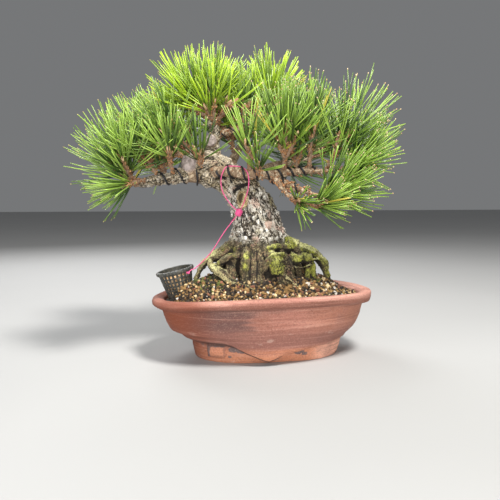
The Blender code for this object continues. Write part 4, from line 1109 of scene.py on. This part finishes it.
def makeTie():
    say = tieSettings
    lean = Matrix.Translation(say["bead"]) @ Matrix.Rotation(math.radians(28), 4, "Y")
    bead = spun(say["beadProfile"], 24, lean, lambda radius, turn: 1 + 0.035 * math.cos(8 * turn))
    wide, deep, tall = say["knot"]
    knot = [tuple(Vector(say["tail"][-1]) + Vector((wide * math.cos(a), deep * math.sin(a),
                                                    tall * math.sin(2 * a))))
            for a in np.linspace(0, fullTurn, 14)]
    paint = Paint("pink_elastic", Sheen_Weight=0.2, Subsurface_Weight=0.1)
    weave = paint.node("ShaderNodeTexWave", {"wave_type": "BANDS", "bands_direction": "DIAGONAL"},
                       {"Vector": paint.place, "Scale": 900.0, "Distortion": 1.0}, "Fac")
    paint.feed("Base Color", paint.mix(weave, (0.62, 0.035, 0.17), (0.90, 0.12, 0.33)))
    paint.feed("Roughness", weave * 0.15 + 0.40)
    paint.bump(weave, 0.35, 0.0002)
    chunks = [rods([evenRun(say["loop"], 70)], say["radius"], 10),
              rods([evenRun(say["tail"], 40)], say["radius"], 10),
              (bead, ringWalls(len(say["beadProfile"]), 24)), rods([knot], say["radius"], 8)]
    makePiece("pink_tie", chunks, paint, ("bead_tie",))


basketSettings = {
    "place": (-0.0800, -0.0010, 0.0590),
    "lean": -13,
    "foot": 0.0120,
    "top": 0.0160,
    "height": 0.0222,
    "columns": 24,
    "rows": 5,
    "solid": (0.0022, 0.0036),   # height of the solid foot, and of all that has no holes
    "bar": 0.0012,
    "gaps": (0, 0.24, 0.5, 0.76),   # edges in each column; the hole is from the second to the last
    "wall": 0.0011,
    "flutes": 36,
    "fluteDepth": (0.012, 0.0165),   # share of the radius, and the radius from which it shows
    "rim": ((0.0158, 0.0216), (0.0170, 0.0216), (0.0176, 0.0222), (0.0178, 0.0236), (0.0176, 0.0247),
            (0.0168, 0.0250), (0.0156, 0.0250), (0.0149, 0.0244), (0.0149, 0.0224)),
    "pellets": 230,
    "pelletSizes": (0.0014, 0.0024),
    "pelletHeights": (0.003, 0.0195),
    "pelletRoom": 0.0027,    # between the wall's outside and their middles
    "pelletRing": 0.72,      # share of the area that is left empty in the middle
    "pelletTop": 0.0165,     # above this height they cover the whole width
}


def basketPlace():
    say = basketSettings
    return Matrix.Translation(say["place"]) @ Matrix.Rotation(math.radians(say["lean"]), 4, "Y")


def basketWidth(height):
    say = basketSettings
    return say["foot"] + (say["top"] - say["foot"]) * height / say["height"]


def makeBasket():
    # a wall of ribs and bars with square holes between them, given its thickness afterwards
    say = basketSettings
    place = basketPlace()
    shape = bmesh.new()
    turns = [fullTurn * column / say["columns"] + fullTurn * gap / say["columns"]
             for column in range(say["columns"]) for gap in say["gaps"]]
    foot, closed = say["solid"]
    heights = [0.0]
    for row in range(say["rows"]):
        low = foot + (say["height"] - closed) * row / say["rows"]
        heights += [low + say["bar"], low + (say["height"] - closed) / say["rows"]]
    heights.append(say["height"])
    grid = []
    for height in heights:
        wide = basketWidth(height)
        grid.append([shape.verts.new(place @ Vector((wide * math.cos(t), wide * math.sin(t), height)))
                     for t in turns])
    for row, (under, above) in enumerate(zip(grid, grid[1:])):
        for column in range(len(turns)):
            if row % 2 == 1 and column % 4 in (1, 2):
                continue
            right = (column + 1) % len(turns)
            shape.faces.new((under[column], under[right], above[right], above[column]))
    shape.faces.new(list(reversed(grid[0])))
    wall = placed("basket_wall", meshFrom("basket_wall", shape))
    changed(wall, "SOLIDIFY", thickness=say["wall"], offset=-1)
    changed(wall, "BEVEL", width=0.00016, segments=1)
    solid = changedMesh(wall)
    bpy.data.objects.remove(wall)
    wallChunk = (readRows(solid.vertices, "co", 3), [[list(face.vertices)] for face in solid.polygons])
    bpy.data.meshes.remove(solid)
    sides, (deep, outer) = say["flutes"] * 6, say["fluteDepth"]
    rim = spun(say["rim"], sides, place, lambda radius, turn: 1.0 if radius <= outer else
               1 + deep * (1 if math.cos(turn * say["flutes"]) > 0 else -1))
    band = ringWalls(len(say["rim"]) + 1, sides)[0] % len(rim)     # the last ring joins the first
    paint = Paint("basket_plastic", Specular_IOR_Level=0.4)
    dust = paint.patches(330, 5, 0.45, 0.75)
    paint.feed("Base Color", paint.mix(dust, (0.040, 0.042, 0.037), (0.120, 0.112, 0.090)))
    paint.feed("Roughness", dust * 0.3 + 0.42)
    paint.bump(paint.noise(1300, 4), 0.25, 0.0003)
    makePiece("feed_basket_wall", [wallChunk, (rim, [band])], paint,
              ("feed_basket",), False)


def grains(places, sizes, chance, level=1, rough=0.28):
    # rough balls, their points pulled about so that no two are alike
    shape = bmesh.new()
    bmesh.ops.create_icosphere(shape, subdivisions=level, radius=1.0)
    ball = np.array([tuple(vert.co) for vert in shape.verts])
    around = np.array([[vert.index for vert in face.verts] for face in shape.faces])
    shape.free()
    count = len(places)
    shapes = np.repeat(ball[None], count, 0) * (1 + chance.uniform(-rough, rough, (count, len(ball), 1)))
    shapes *= chance.uniform(0.68, 1.2, (count, 1, 3))
    turns = unit(chance.normal(size=(count, 4)))
    w, x, y, z = turns.T
    spin = np.stack((1 - 2 * (y * y + z * z), 2 * (x * y - z * w), 2 * (x * z + y * w),
                     2 * (x * y + z * w), 1 - 2 * (x * x + z * z), 2 * (y * z - x * w),
                     2 * (x * z - y * w), 2 * (y * z + x * w), 1 - 2 * (x * x + y * y)), -1)
    shapes = np.einsum("nij,nkj->nki", spin.reshape(-1, 3, 3), shapes)
    points = shapes * np.asarray(sizes)[:, None, None] + np.asarray(places)[:, None]
    faces = around[None] + np.arange(count)[:, None, None] * len(ball)
    return points.reshape(-1, 3), [faces.reshape(-1, 3)]


def grainPaint(name, light, dark, spot):
    paint = Paint(name, Roughness=0.92)
    tone = paint.mix(paint.patches(170, 2, 0.40, 0.60), dark, light)
    paint.feed("Base Color", paint.mix(paint.patches(1900, 4, 0.58, 0.70), tone, spot))
    paint.bump(paint.noise(1500, 5), 0.8, 0.0006)
    return paint


def makePellets():
    say = basketSettings
    chance = np.random.default_rng(11)
    place = basketPlace()
    places = []
    for _ in range(say["pellets"]):
        height = chance.uniform(*say["pelletHeights"])
        wide = basketWidth(height) - say["pelletRoom"]
        turn = chance.uniform(0, fullTurn)
        radius = wide * math.sqrt(chance.uniform(say["pelletRing"], 1.0))
        if height > say["pelletTop"]:
            radius = wide * math.sqrt(chance.uniform(0, 1.0))
        places.append(tuple(place @ Vector((radius * math.cos(turn), radius * math.sin(turn), height))))
    sizes = chance.uniform(*say["pelletSizes"], len(places))
    paint = grainPaint("feed_pellet", (0.70, 0.50, 0.29), (0.50, 0.33, 0.17), (0.30, 0.19, 0.10))
    makePiece("pellets", [grains(places, sizes, chance, 2, 0.12)], paint, ("feed_pellets",), False)


makeWires()
makeTie()
makeBasket()
makePellets()
print("small things made")


potSettings = {
    "squareness": 2.2,
    "sides": 360,
    "rimHeight": 0.0604,
    "rimWave": 0.0024,
    "rimTilt": 0.0015,
    "edgeHeight": 0.0188,
    "edgeTilt": 0.0022,
    "foldDrop": 0.0150,
    "foldPlaces": (-94, 86),   # degrees round the pot, with the fold's shape to both sides of each
    "foldShape": ((-30, 0), (-24, 0.10), (-3, 0.93), (0, 1), (3, 0.88), (9, 0.56), (28, 0.26), (54, 0)),
    "flushPlace": math.radians(-32),   # where the foot comes out flush with the body, and how much
    "flush": 0.100,
    # rows of the profile, in the order of shapedPot, where each part of it begins and ends
    "outsideRows": 78,
    "lipTop": (65, 69, 84, 90),
    "lipFace": (49, 55, 65, 69),
    # rows of the painted shade under the body's overhang
    "seam": (12.2, 14, 23, 25),
    "holes": (-0.0300, 0.0300),
    "holeRadius": 0.0060,
    "block": ((-0.0510, -0.0320, 0.0125), math.radians(-22), 0.0076, 0.0066),
    "notch": ((0.0560, -0.0230, 0.0030), 0.0034),
    "chips": ((-0.0370, -0.0413, 0.0130, 0.0048), (-0.0310, -0.0440, 0.0115, 0.0040),
              (-0.0110, -0.0480, 0.0062, 0.0042), (-0.0400, -0.0386, 0.0055, 0.0018),
              (-0.0640, -0.0230, 0.0160, 0.0045), (-0.0590, -0.0280, 0.0150, 0.0030),
              (0.0235, -0.0475, 0.0095, 0.0046), (0.0290, -0.0470, 0.0070, 0.0032)),
    "chipDepth": 0.0009,
}


def ovalRing(turns, half, heights):
    power = 2 / potSettings["squareness"]
    c, s = np.cos(turns), np.sin(turns)
    return np.stack((half[0] * np.sign(c) * np.abs(c) ** power, half[1] * np.sign(s) * np.abs(s) ** power,
                     np.broadcast_to(heights, turns.shape)), -1)


def rimHeight(turns):
    say = potSettings
    return say["rimHeight"] - say["rimWave"] * np.cos(2 * turns) + say["rimTilt"] * np.cos(turns)


def edgeHeight(turns):
    # the body's lower edge, which dips in a long fold at the front and the back
    say = potSettings
    drop = np.zeros_like(turns)
    for place in say["foldPlaces"]:
        away = (np.degrees(turns) - place + 180) % 360 - 180
        drop = np.maximum(drop, np.interp(away, *zip(*say["foldShape"])))
    return say["edgeHeight"] - say["edgeTilt"] * np.cos(turns) - say["foldDrop"] * drop


def potRings(turns):
    # control rings from the underside out, over the lip and down inside: half axes, height
    edge, rim = edgeHeight(turns), rimHeight(turns)
    flush = 1 + potSettings["flush"] * within(np.cos(turns - potSettings["flushPlace"]), 0.62, 0.95)
    lying = within(-np.cos(turns), 0.2, 0.95)    # the lip lies flat at the left and stands up at the right
    stood = within(np.cos(turns), 0.3, 0.95)
    rings = [ovalRing(turns, inMetres(half), height) for half, height in (
        ((65, 42), 0.0), ((66.4, 43.4), 0.0006), ((68.4, 45.2), edge * 0.5), ((70.4, 46.9), edge - 0.0012),
        ((74.2, 50.2), edge - 0.0008), ((78.1, 53.6), edge - 0.0004), ((79.7, 54.9), edge + 0.0008),
        ((81.8, 56), edge + 0.0034), ((89.7, 59.7), 0.0272), ((93.5, 61.3), 0.0330), ((95.8, 62.5), 0.0395),
        ((97.5, 63.5), 0.0465), ((98.2, 64), rim - 0.0112), ((99, 64.5), rim - 0.0098),
        ((102.2, 66.8), rim - 0.0088 - stood * 0.0012), ((105.2, 69.1), rim - 0.0070 - stood * 0.0020),
        ((106.4, 70.1), rim - 0.0042 - lying * 0.0016 - stood * 0.0012),
        ((106.8, 70.3), rim - 0.0017 - lying * 0.0022 + stood * 0.0006),
        ((105.6, 69.1), rim - 0.0001 - lying * 0.0012 + stood * 0.0012),
        ((102, 65.6), rim + 0.0003 + stood * 0.0006), ((98, 61.8), rim - 0.0004),
        ((95.5, 59.5), rim - 0.0020), ((94.3, 58.6), rim - 0.0060), ((90.5, 56.2), 0.0460),
        ((86, 53.5), 0.0400), ((69, 44.5), 0.0220), ((58, 36), 0.0130))]
    for ring, share in zip(rings, (1, 1, 1, 0.9, 0.5)):
        ring[:, :2] *= np.reshape(1 + (flush - 1) * share, (-1, 1))
    return rings


def softNoise(points, scale, seed):
    shift = Vector((seed, seed * 0.7, -seed))
    return np.array([noise.noise(Vector(point) * scale + shift) for point in points])


def shapedPot():
    turns = fullTurn * np.arange(potSettings["sides"]) / potSettings["sides"]
    rings = padded(potRings(turns))
    steps = [5, 5, 5, 3, 3, 3, 3, 6, 5, 5, 5, 3, 3, 3, 4, 4, 4, 4, 4, 4, 4, 4, 3, 3, 2, 2]
    rows = []
    for a, b, c, d, count in zip(rings, rings[1:], rings[2:], rings[3:], steps):
        for t in np.arange(count) / count:
            rows.append(between(a, b, c, d, t) * 0.5 + (b + (c - b) * t) * 0.5)
    return np.array(rows + [rings[-2]])


def workedClay(rows):
    # throwing marks, a hand-drawn lip, the square pad, chips and a notch, all in the mesh
    say = potSettings
    flat = rows.reshape(-1, 3)
    out = unit(flat * (1, 1, 0))
    height = flat[:, 2]
    number = np.repeat(np.arange(len(rows)), rows.shape[1])
    low = softNoise(flat, 38, 3.0)
    streak = softNoise(np.column_stack((flat[:, 0] * 9, flat[:, 1] * 9, height * 420)), 1.0, 9.0)
    fine = softNoise(flat, 520, 5.0)
    outside = number < say["outsideRows"]
    push = (0.0009 * low + 0.00028 * streak + 0.00013 * fine) * outside
    place, turn, wide, tall = say["block"]
    ahead = np.array((math.sin(turn), -math.cos(turn), 0.0))
    beside = np.array((math.cos(turn), math.sin(turn), 0.0))
    offset = flat - np.array(place)
    near = np.maximum(np.abs(offset @ beside) / wide, np.abs(offset[:, 2]) / tall)
    depth = offset @ ahead
    inFront = (depth > -0.012) * outside
    pad = within(near, 1.16, 0.84) * inFront
    moved = flat + out * push[:, None] * within(height, 0.0, 0.004)[:, None]
    moved = moved + ahead * ((0.0036 - depth) * pad * 0.85)[:, None]
    place, deep = say["notch"]
    gap = np.linalg.norm((flat - np.array(place)) / (1.0, 1.0, 0.6), axis=1)
    moved[:, 2] += within(gap, 0.0085, 0.0060) * within(height, 0.009, 0.0) * deep
    # the pad's grey edge, a thick strip along its top and its left side
    across, high = offset @ beside / wide, offset[:, 2] / tall + low * 0.25
    strip = within(high, 0.30, 0.45) * within(high, 1.15, 1.02) * within(np.abs(across), 1.15, 1.02)
    side = within(across, -0.55, -0.72) * within(across, -1.20, -1.05) * within(np.abs(high), 1.15, 1.0)
    strip = np.maximum(strip, side) * inFront
    broken = np.zeros(len(flat))
    for *where, size in say["chips"]:
        away = np.linalg.norm((flat - np.array(where)) / (1, 1, 0.5), axis=1)
        broken = np.maximum(broken, within(away + low * 0.002 + fine * 0.001, size * 1.3, size * 0.85))
    moved = moved - out * (say["chipDepth"] * broken * (0.7 + 0.3 * np.sign(fine)))[:, None]
    turns = np.tile(fullTurn * np.arange(rows.shape[1]) / rows.shape[1], len(rows))
    apart = 1 - 0.95 * within(np.cos(turns - say["flushPlace"]), 0.46, 0.66)   # no painted shade under the overhang where the foot is flush
    reads = {"pad": pad, "broken": np.maximum(broken, strip * 0.85)}
    for part in ("lipTop", "lipFace", "seam"):
        reads[part] = np.interp(number, say[part], (0, 1, 1, 0))
    reads["seam"] = reads["seam"] * apart
    return moved.reshape(rows.shape), reads


def clayPaint():
    paint = Paint("red_clay")
    soft, mix, reads = paint.soft, paint.mix, paint.reads
    height, wide = paint.axis("Z"), paint.axis("X")
    smear = paint.noise(1.0, 5, paint.stretched((22, 22, 190)))
    thrown = paint.noise(1.0, 3, paint.stretched((14, 14, 700)))
    cloud, speck = paint.noise(26, 4), paint.noise(620, 3)
    grain, mottle = paint.noise(1500, 5, rough=0.7), paint.noise(700, 4, rough=0.7)
    # the lower body painted darker under its bulge: painted shade
    lowLeftShade = soft(wide - smear * 0.02, 0.015, -0.020) * soft(height, 0.044, 0.026) * soft(height, 0.008, 0.018)
    bellyShade = soft(height + smear * 0.006, 0.042, 0.026) * soft(height, 0.014, 0.020)
    end = soft(wide, -0.048, -0.078)
    band = soft(height, 0.024, 0.038) * soft(height, 0.0560, 0.0510) * soft(wide, -0.090, -0.070)
    scuff = soft(paint.noise(70, 5, paint.stretched((1, 1, 2.2))), 0.62, 0.72) * soft(height, 0.042, 0.030)
    broken = soft(reads("broken") + paint.noise(420, 4) - 0.5, 0.40, 0.70)
    pad = reads("pad")
    # the lip's top painted lighter: painted highlight from the light above
    paler = mix(soft(smear, 0.40, 0.62), (0.44, 0.185, 0.140), (0.66, 0.335, 0.265))
    paint.feed("Base Color", paint.over(
        mix(soft(cloud, 0.35, 0.66), (0.34, 0.130, 0.088), (0.49, 0.200, 0.145)),
        (soft(smear, 0.46, 0.66) * 0.7, (0.57, 0.265, 0.200)),
        (soft(wide, 0.010, 0.060) * 0.45, (0.53, 0.215, 0.120)),                     # the right end
        (soft(height + smear * 0.012, 0.026, 0.016) * 0.85,
         mix(cloud, (0.50, 0.180, 0.080), (0.68, 0.280, 0.150))),                    # the foot
        # the right end of the foot painted bright, where light catches it: painted highlight
        (soft(height, 0.018, 0.012) * soft(wide, 0.030, 0.050) * 0.95, (0.97, 0.51, 0.36)),
        # painted shade low on the left
        (lowLeftShade * 0.55, (0.27, 0.100, 0.072)),
        # painted shade under the belly
        (bellyShade * 0.75, (0.250, 0.098, 0.074)),
        (end * 0.95, (0.225, 0.046, 0.010)),
        # the lip's outer face painted darker than its top: painted shade
        (reads("lipFace") * 0.85, mix(smear, (0.19, 0.066, 0.044), (0.30, 0.112, 0.076))),
        # the lip's top: painted highlight
        (reads("lipTop") * 0.9, paler),
        (soft(smear * 0.6 + cloud * 0.5 - wide * 3.2, 0.56, 0.76) * band * 0.9,
         (0.105, 0.054, 0.050)),                                                     # smoke
        (soft(cloud + wide * 2.2, 0.66, 0.84) * soft(height, 0.058, 0.040) * 0.45, (0.25, 0.120, 0.105)),
        (soft(thrown, 0.54, 0.64) * 0.30, (0.66, 0.36, 0.28)),
        (soft(thrown, 0.44, 0.36) * 0.35, (0.19, 0.075, 0.058)),
        (scuff * 0.6, (0.62, 0.43, 0.35)),
        (broken * 0.95, mix(grain, (0.065, 0.055, 0.058), (0.20, 0.155, 0.150))),
        (soft(pad, 0.5, 0.9) * (1 - broken) * 0.6, (0.66, 0.27, 0.15)),
        (soft(pad, 0.03, 0.15) * soft(pad + smear * 0.5, 1.24, 0.96) * 0.25, (0.15, 0.110, 0.105)),
        (soft(grain, 0.53, 0.66) * 0.45, (0.66, 0.38, 0.29)),
        (soft(grain, 0.46, 0.36) * 0.5, (0.14, 0.056, 0.040)),
        (soft(speck, 0.60, 0.68) * 0.5, (0.18, 0.070, 0.048)),
        # a dark band on the foot under the body's overhang: painted shadow
        (soft(reads("seam") + grain * 0.5 + smear * 0.3 - 0.2, 0.40, 0.95) * 0.9, (0.042, 0.021, 0.016)),
        (soft(mottle, 0.46, 0.37) * 0.30, (0.17, 0.072, 0.055)),
        (soft(mottle, 0.55, 0.65) * 0.22, (0.66, 0.40, 0.31)),
        (end * 0.55, (0.22, 0.043, 0.010)),
        # more painted shade under the belly
        (bellyShade * 0.30, (0.22, 0.092, 0.072))))
    paint.feed("Roughness", grain * 0.2 + 0.70)
    paint.bump(grain + smear * 0.8, 0.8, 0.0009)
    return paint


def makePot():
    say = potSettings
    rows, reads = workedClay(shapedPot())
    pot = makePiece("clay_pot", [(rows, ringWalls(*rows.shape[:2]))], clayPaint(), ("pot",), False)
    addReads(pot.data, reads)
    drills = bmesh.new()
    for x in say["holes"]:
        bmesh.ops.create_cone(drills, cap_ends=True, segments=40, radius1=say["holeRadius"],
                              radius2=say["holeRadius"], depth=0.05, matrix=Matrix.Translation((x, 0, 0)))
    tool = placed("drills", meshFrom("drills", drills))
    changed(pot, "BOOLEAN", object=tool, solver="EXACT")
    made = changedMesh(pot)
    pot.modifiers.clear()
    pot.data = made
    bpy.data.objects.remove(tool)
    made.shade_smooth()
    made.set_sharp_from_angle(angle=math.radians(48))
    print("pot:", len(made.polygons), "faces")


soilSettings = {
    "half": (0.0940, 0.0580),
    "mound": 0.0733,        # height of the soil at the trunk
    "plateau": 0.55,
    "belowRim": 0.0032,
    "piles": ((-0.0800, -0.0200, 0.0100, 0.0140), (-0.0640, -0.0200, 0.0040, 0.0150)),
    "under": (((0.0575, 0.0355), 0.0134), ((0.0684, 0.0440), 0.0224), ((0.0855, 0.0530), 0.0404)),
    "grid": (120, 26),
    "gap": 0.0024,          # between the middles of small grains
    "small": (0.0008, 0.0016),
    "large": (0.0019, 0.0029),
    "largeShare": (0.14, 0.045),   # at the right front, and elsewhere
    "depths": (-0.0014, 0.0010),
    "outermost": 0.985,     # share of the soil's width within which they lie
    "basketRoom": 0.0140,
    "trunkRoom": (-0.004, 0.001, 0.031, 0.027),   # middle, and half widths
    "mossBeds": ((-0.0520, -0.0150, 0.0190, 0.55), (0.0450, -0.0210, 0.0080, 0.35)),
    "darkByTrunk": 0.60,
    # share, and the colours' light and dark end and their specks
    "kinds": {
        "grain_tan": (0.43, (0.33, 0.198, 0.072), (0.16, 0.088, 0.034), (0.08, 0.045, 0.020)),
        "grain_cream": (0.13, (0.78, 0.62, 0.36), (0.48, 0.33, 0.16), (0.26, 0.16, 0.07)),
        "grain_red": (0.10, (0.34, 0.150, 0.085), (0.20, 0.085, 0.050), (0.12, 0.05, 0.03)),
        "grain_dark": (0.29, (0.052, 0.038, 0.028), (0.015, 0.011, 0.008), (0.13, 0.10, 0.075)),
        "grain_white": (0.03, (0.80, 0.74, 0.66), (0.56, 0.50, 0.43), (0.42, 0.37, 0.32)),
        "grain_mossy": (0.005, (0.15, 0.16, 0.035), (0.040, 0.046, 0.014), (0.26, 0.27, 0.06)),
    },
}


def soilHeight(x, y):
    say = soilSettings
    square = potSettings["squareness"]
    share = ((np.abs(x) / say["half"][0]) ** square + (np.abs(y) / say["half"][1]) ** square) ** (1 / square)
    turns = np.arctan2(y / say["half"][1], x / say["half"][0])
    low = rimHeight(turns) - say["belowRim"]
    slope = np.clip((1 - share) / (1 - say["plateau"]), 0, 1)
    height = low + (say["mound"] - low) * slope * slope * (3 - 2 * slope)
    for pileX, pileY, tall, wide in say["piles"]:
        heap = tall * np.exp(-((x - pileX) ** 2 + (y - pileY) ** 2) / wide ** 2)
        height = height + heap * within(share, 1.0, 0.90)
    return height, share


def makeEarth():
    say = soilSettings
    sides, levels = say["grid"]
    turns = fullTurn * np.arange(sides) / sides
    rows = [ovalRing(turns, *ring) for ring in say["under"]]
    for share in np.linspace(1, 0.02, levels):
        ring = ovalRing(turns, (say["half"][0] * share, say["half"][1] * share), 0.0)
        ring[:, 2] = soilHeight(ring[:, 0], ring[:, 1])[0] - 0.0011
        rows.append(ring)
    flat = np.array(rows).reshape(-1, 3)
    flat[:, 2] += softNoise(flat, 260, 2.0) * 0.0009 * (flat[:, 2] > 0.05)
    earth = grainPaint("earth", (0.060, 0.040, 0.024), (0.018, 0.013, 0.009), (0.14, 0.095, 0.055))
    makePiece("earth_bed", [(flat, ringWalls(len(rows), sides))], earth, ("soil",))


def makeGrains():
    say = soilSettings
    chance = np.random.default_rng(5)
    places, sizes = scattered(chance)
    names = list(say["kinds"])
    dark, mossy = names.index("grain_dark"), names.index("grain_mossy")
    shares = np.cumsum([kind[0] for kind in say["kinds"].values()])
    pick = np.searchsorted(shares / shares[-1], chance.uniform(0, 1, len(places)))
    nearTrunk = np.hypot((places[:, 0] + 0.004) / 0.050, (places[:, 1] + 0.004) / 0.036)
    turned = [(dark, say["darkByTrunk"] * within(nearTrunk, 1.20, 0.80))]
    for bedX, bedY, wide, share in say["mossBeds"]:
        bed = share * within(np.hypot(places[:, 0] - bedX, places[:, 1] - bedY) / wide, 1.2, 0.6)
        turned += [(mossy, bed), (dark, 0.5 * bed)]
    for kind, often in turned:
        pick[chance.uniform(0, 1, len(places)) < often] = kind
    for number, (name, (_, light, dark, spot)) in enumerate(say["kinds"].items()):
        mine = pick == number
        makePiece(name, [grains(places[mine], sizes[mine], chance)], grainPaint(name, light, dark, spot),
                  (), False)
    print("soil grains:", len(places))


def scattered(chance):
    # grains on the mound, none in the trunk or the basket, with more large pebbles at the right front
    say = soilSettings
    step, (halfX, halfY) = say["gap"], say["half"]
    x, y = np.meshgrid(np.arange(-halfX, halfX, step), np.arange(-halfY, halfY, step))
    x, y = (np.concatenate([(rows + shift).ravel() for shift in (0, step / 2)]) for rows in (x, y))
    x = x + chance.uniform(-0.5, 0.5, x.shape) * step
    y = y + chance.uniform(-0.5, 0.5, y.shape) * step
    z, share = soilHeight(x, y)
    places = np.column_stack((x, y, z + chance.uniform(*say["depths"], x.shape)))
    sizes = chance.uniform(*say["small"], x.shape)
    large = chance.uniform(0, 1, x.shape) < np.where((x > 0.01) & (y < -0.02), *say["largeShare"])
    sizes = np.where(large, chance.uniform(*say["large"], x.shape), sizes)
    flatX, flatY = basketSettings["place"][:2]
    inBasket = (x - flatX + 0.002) ** 2 + (y - flatY) ** 2 < say["basketRoom"] ** 2
    trunkX, trunkY, wideX, wideY = say["trunkRoom"]
    inTrunk = ((x - trunkX) / wideX) ** 2 + ((y - trunkY) / wideY) ** 2 < 1
    keep = (share < say["outermost"] - sizes * 4) & ~inBasket & ~inTrunk
    return places[keep], sizes[keep]


makePot()
makeEarth()
makeGrains()


studioSettings = {
    "sky": ((0.86, 0.88, 0.90, 1), 0.21),
    "floor": ((0.41, 0.41, 0.407), (0.45, 0.45, 0.447)),
    # place, aim, size, power and colour
    "lamps": {
        "key": ((0.22, -0.50, 1.15), (0, 0, 0.14), 0.30, 21.5, (1.0, 0.98, 0.94)),
        "front": ((-0.28, -1.30, 0.26), (0, 0, 0.14), 0.6, 12.5, (1.0, 0.99, 0.97)),
        "fill": ((-0.95, -0.60, 0.45), (0, 0, 0.14), 0.9, 4, (0.92, 0.96, 1.0)),
        "rim": ((-0.25, 0.85, 0.80), (0, 0, 0.18), 0.7, 9, (1.0, 1.0, 1.0)),
    },
    "camera": ((-0.1305, -0.5529, 0.150), (90 - 5.09, 0, -12)),   # place, and turn in degrees
    "lens": (42.4, 36),
}


def makeStudio():
    say = studioSettings
    shape = bmesh.new()
    bmesh.ops.create_grid(shape, x_segments=2, y_segments=2, size=6)
    floor = placed("floor", meshFrom("floor", shape))
    paint = Paint("pale_floor", Roughness=0.8)
    paint.feed("Base Color", paint.mix(paint.noise(3, 2), *say["floor"]))
    floor.data.materials.append(paint.material)
    world = bpy.data.worlds.new("studio")
    world.use_nodes = True
    back = world.node_tree.nodes["Background"]
    back.inputs["Color"].default_value, back.inputs["Strength"].default_value = say["sky"]
    bpy.context.scene.world = world
    for name, (place, aim, size, power, colour) in say["lamps"].items():
        lamp = bpy.data.lights.new(name, "AREA")
        lamp.shape = "DISK"
        lamp.size = size
        lamp.energy = power
        lamp.color = colour
        light = placed(name, lamp)
        light.location = place
        light.rotation_euler = (Vector(aim) - Vector(place)).to_track_quat("-Z", "Y").to_euler()
    lens = bpy.data.cameras.new("camera")
    lens.lens, lens.sensor_width = say["lens"]
    lens.clip_start = 0.01
    camera = placed("camera", lens)
    camera.location, turn = say["camera"]
    camera.rotation_euler = [math.radians(angle) for angle in turn]
    bpy.context.scene.camera = camera
    bpy.context.scene.view_settings.view_transform = "Standard"
    print("studio set up")


makeStudio()
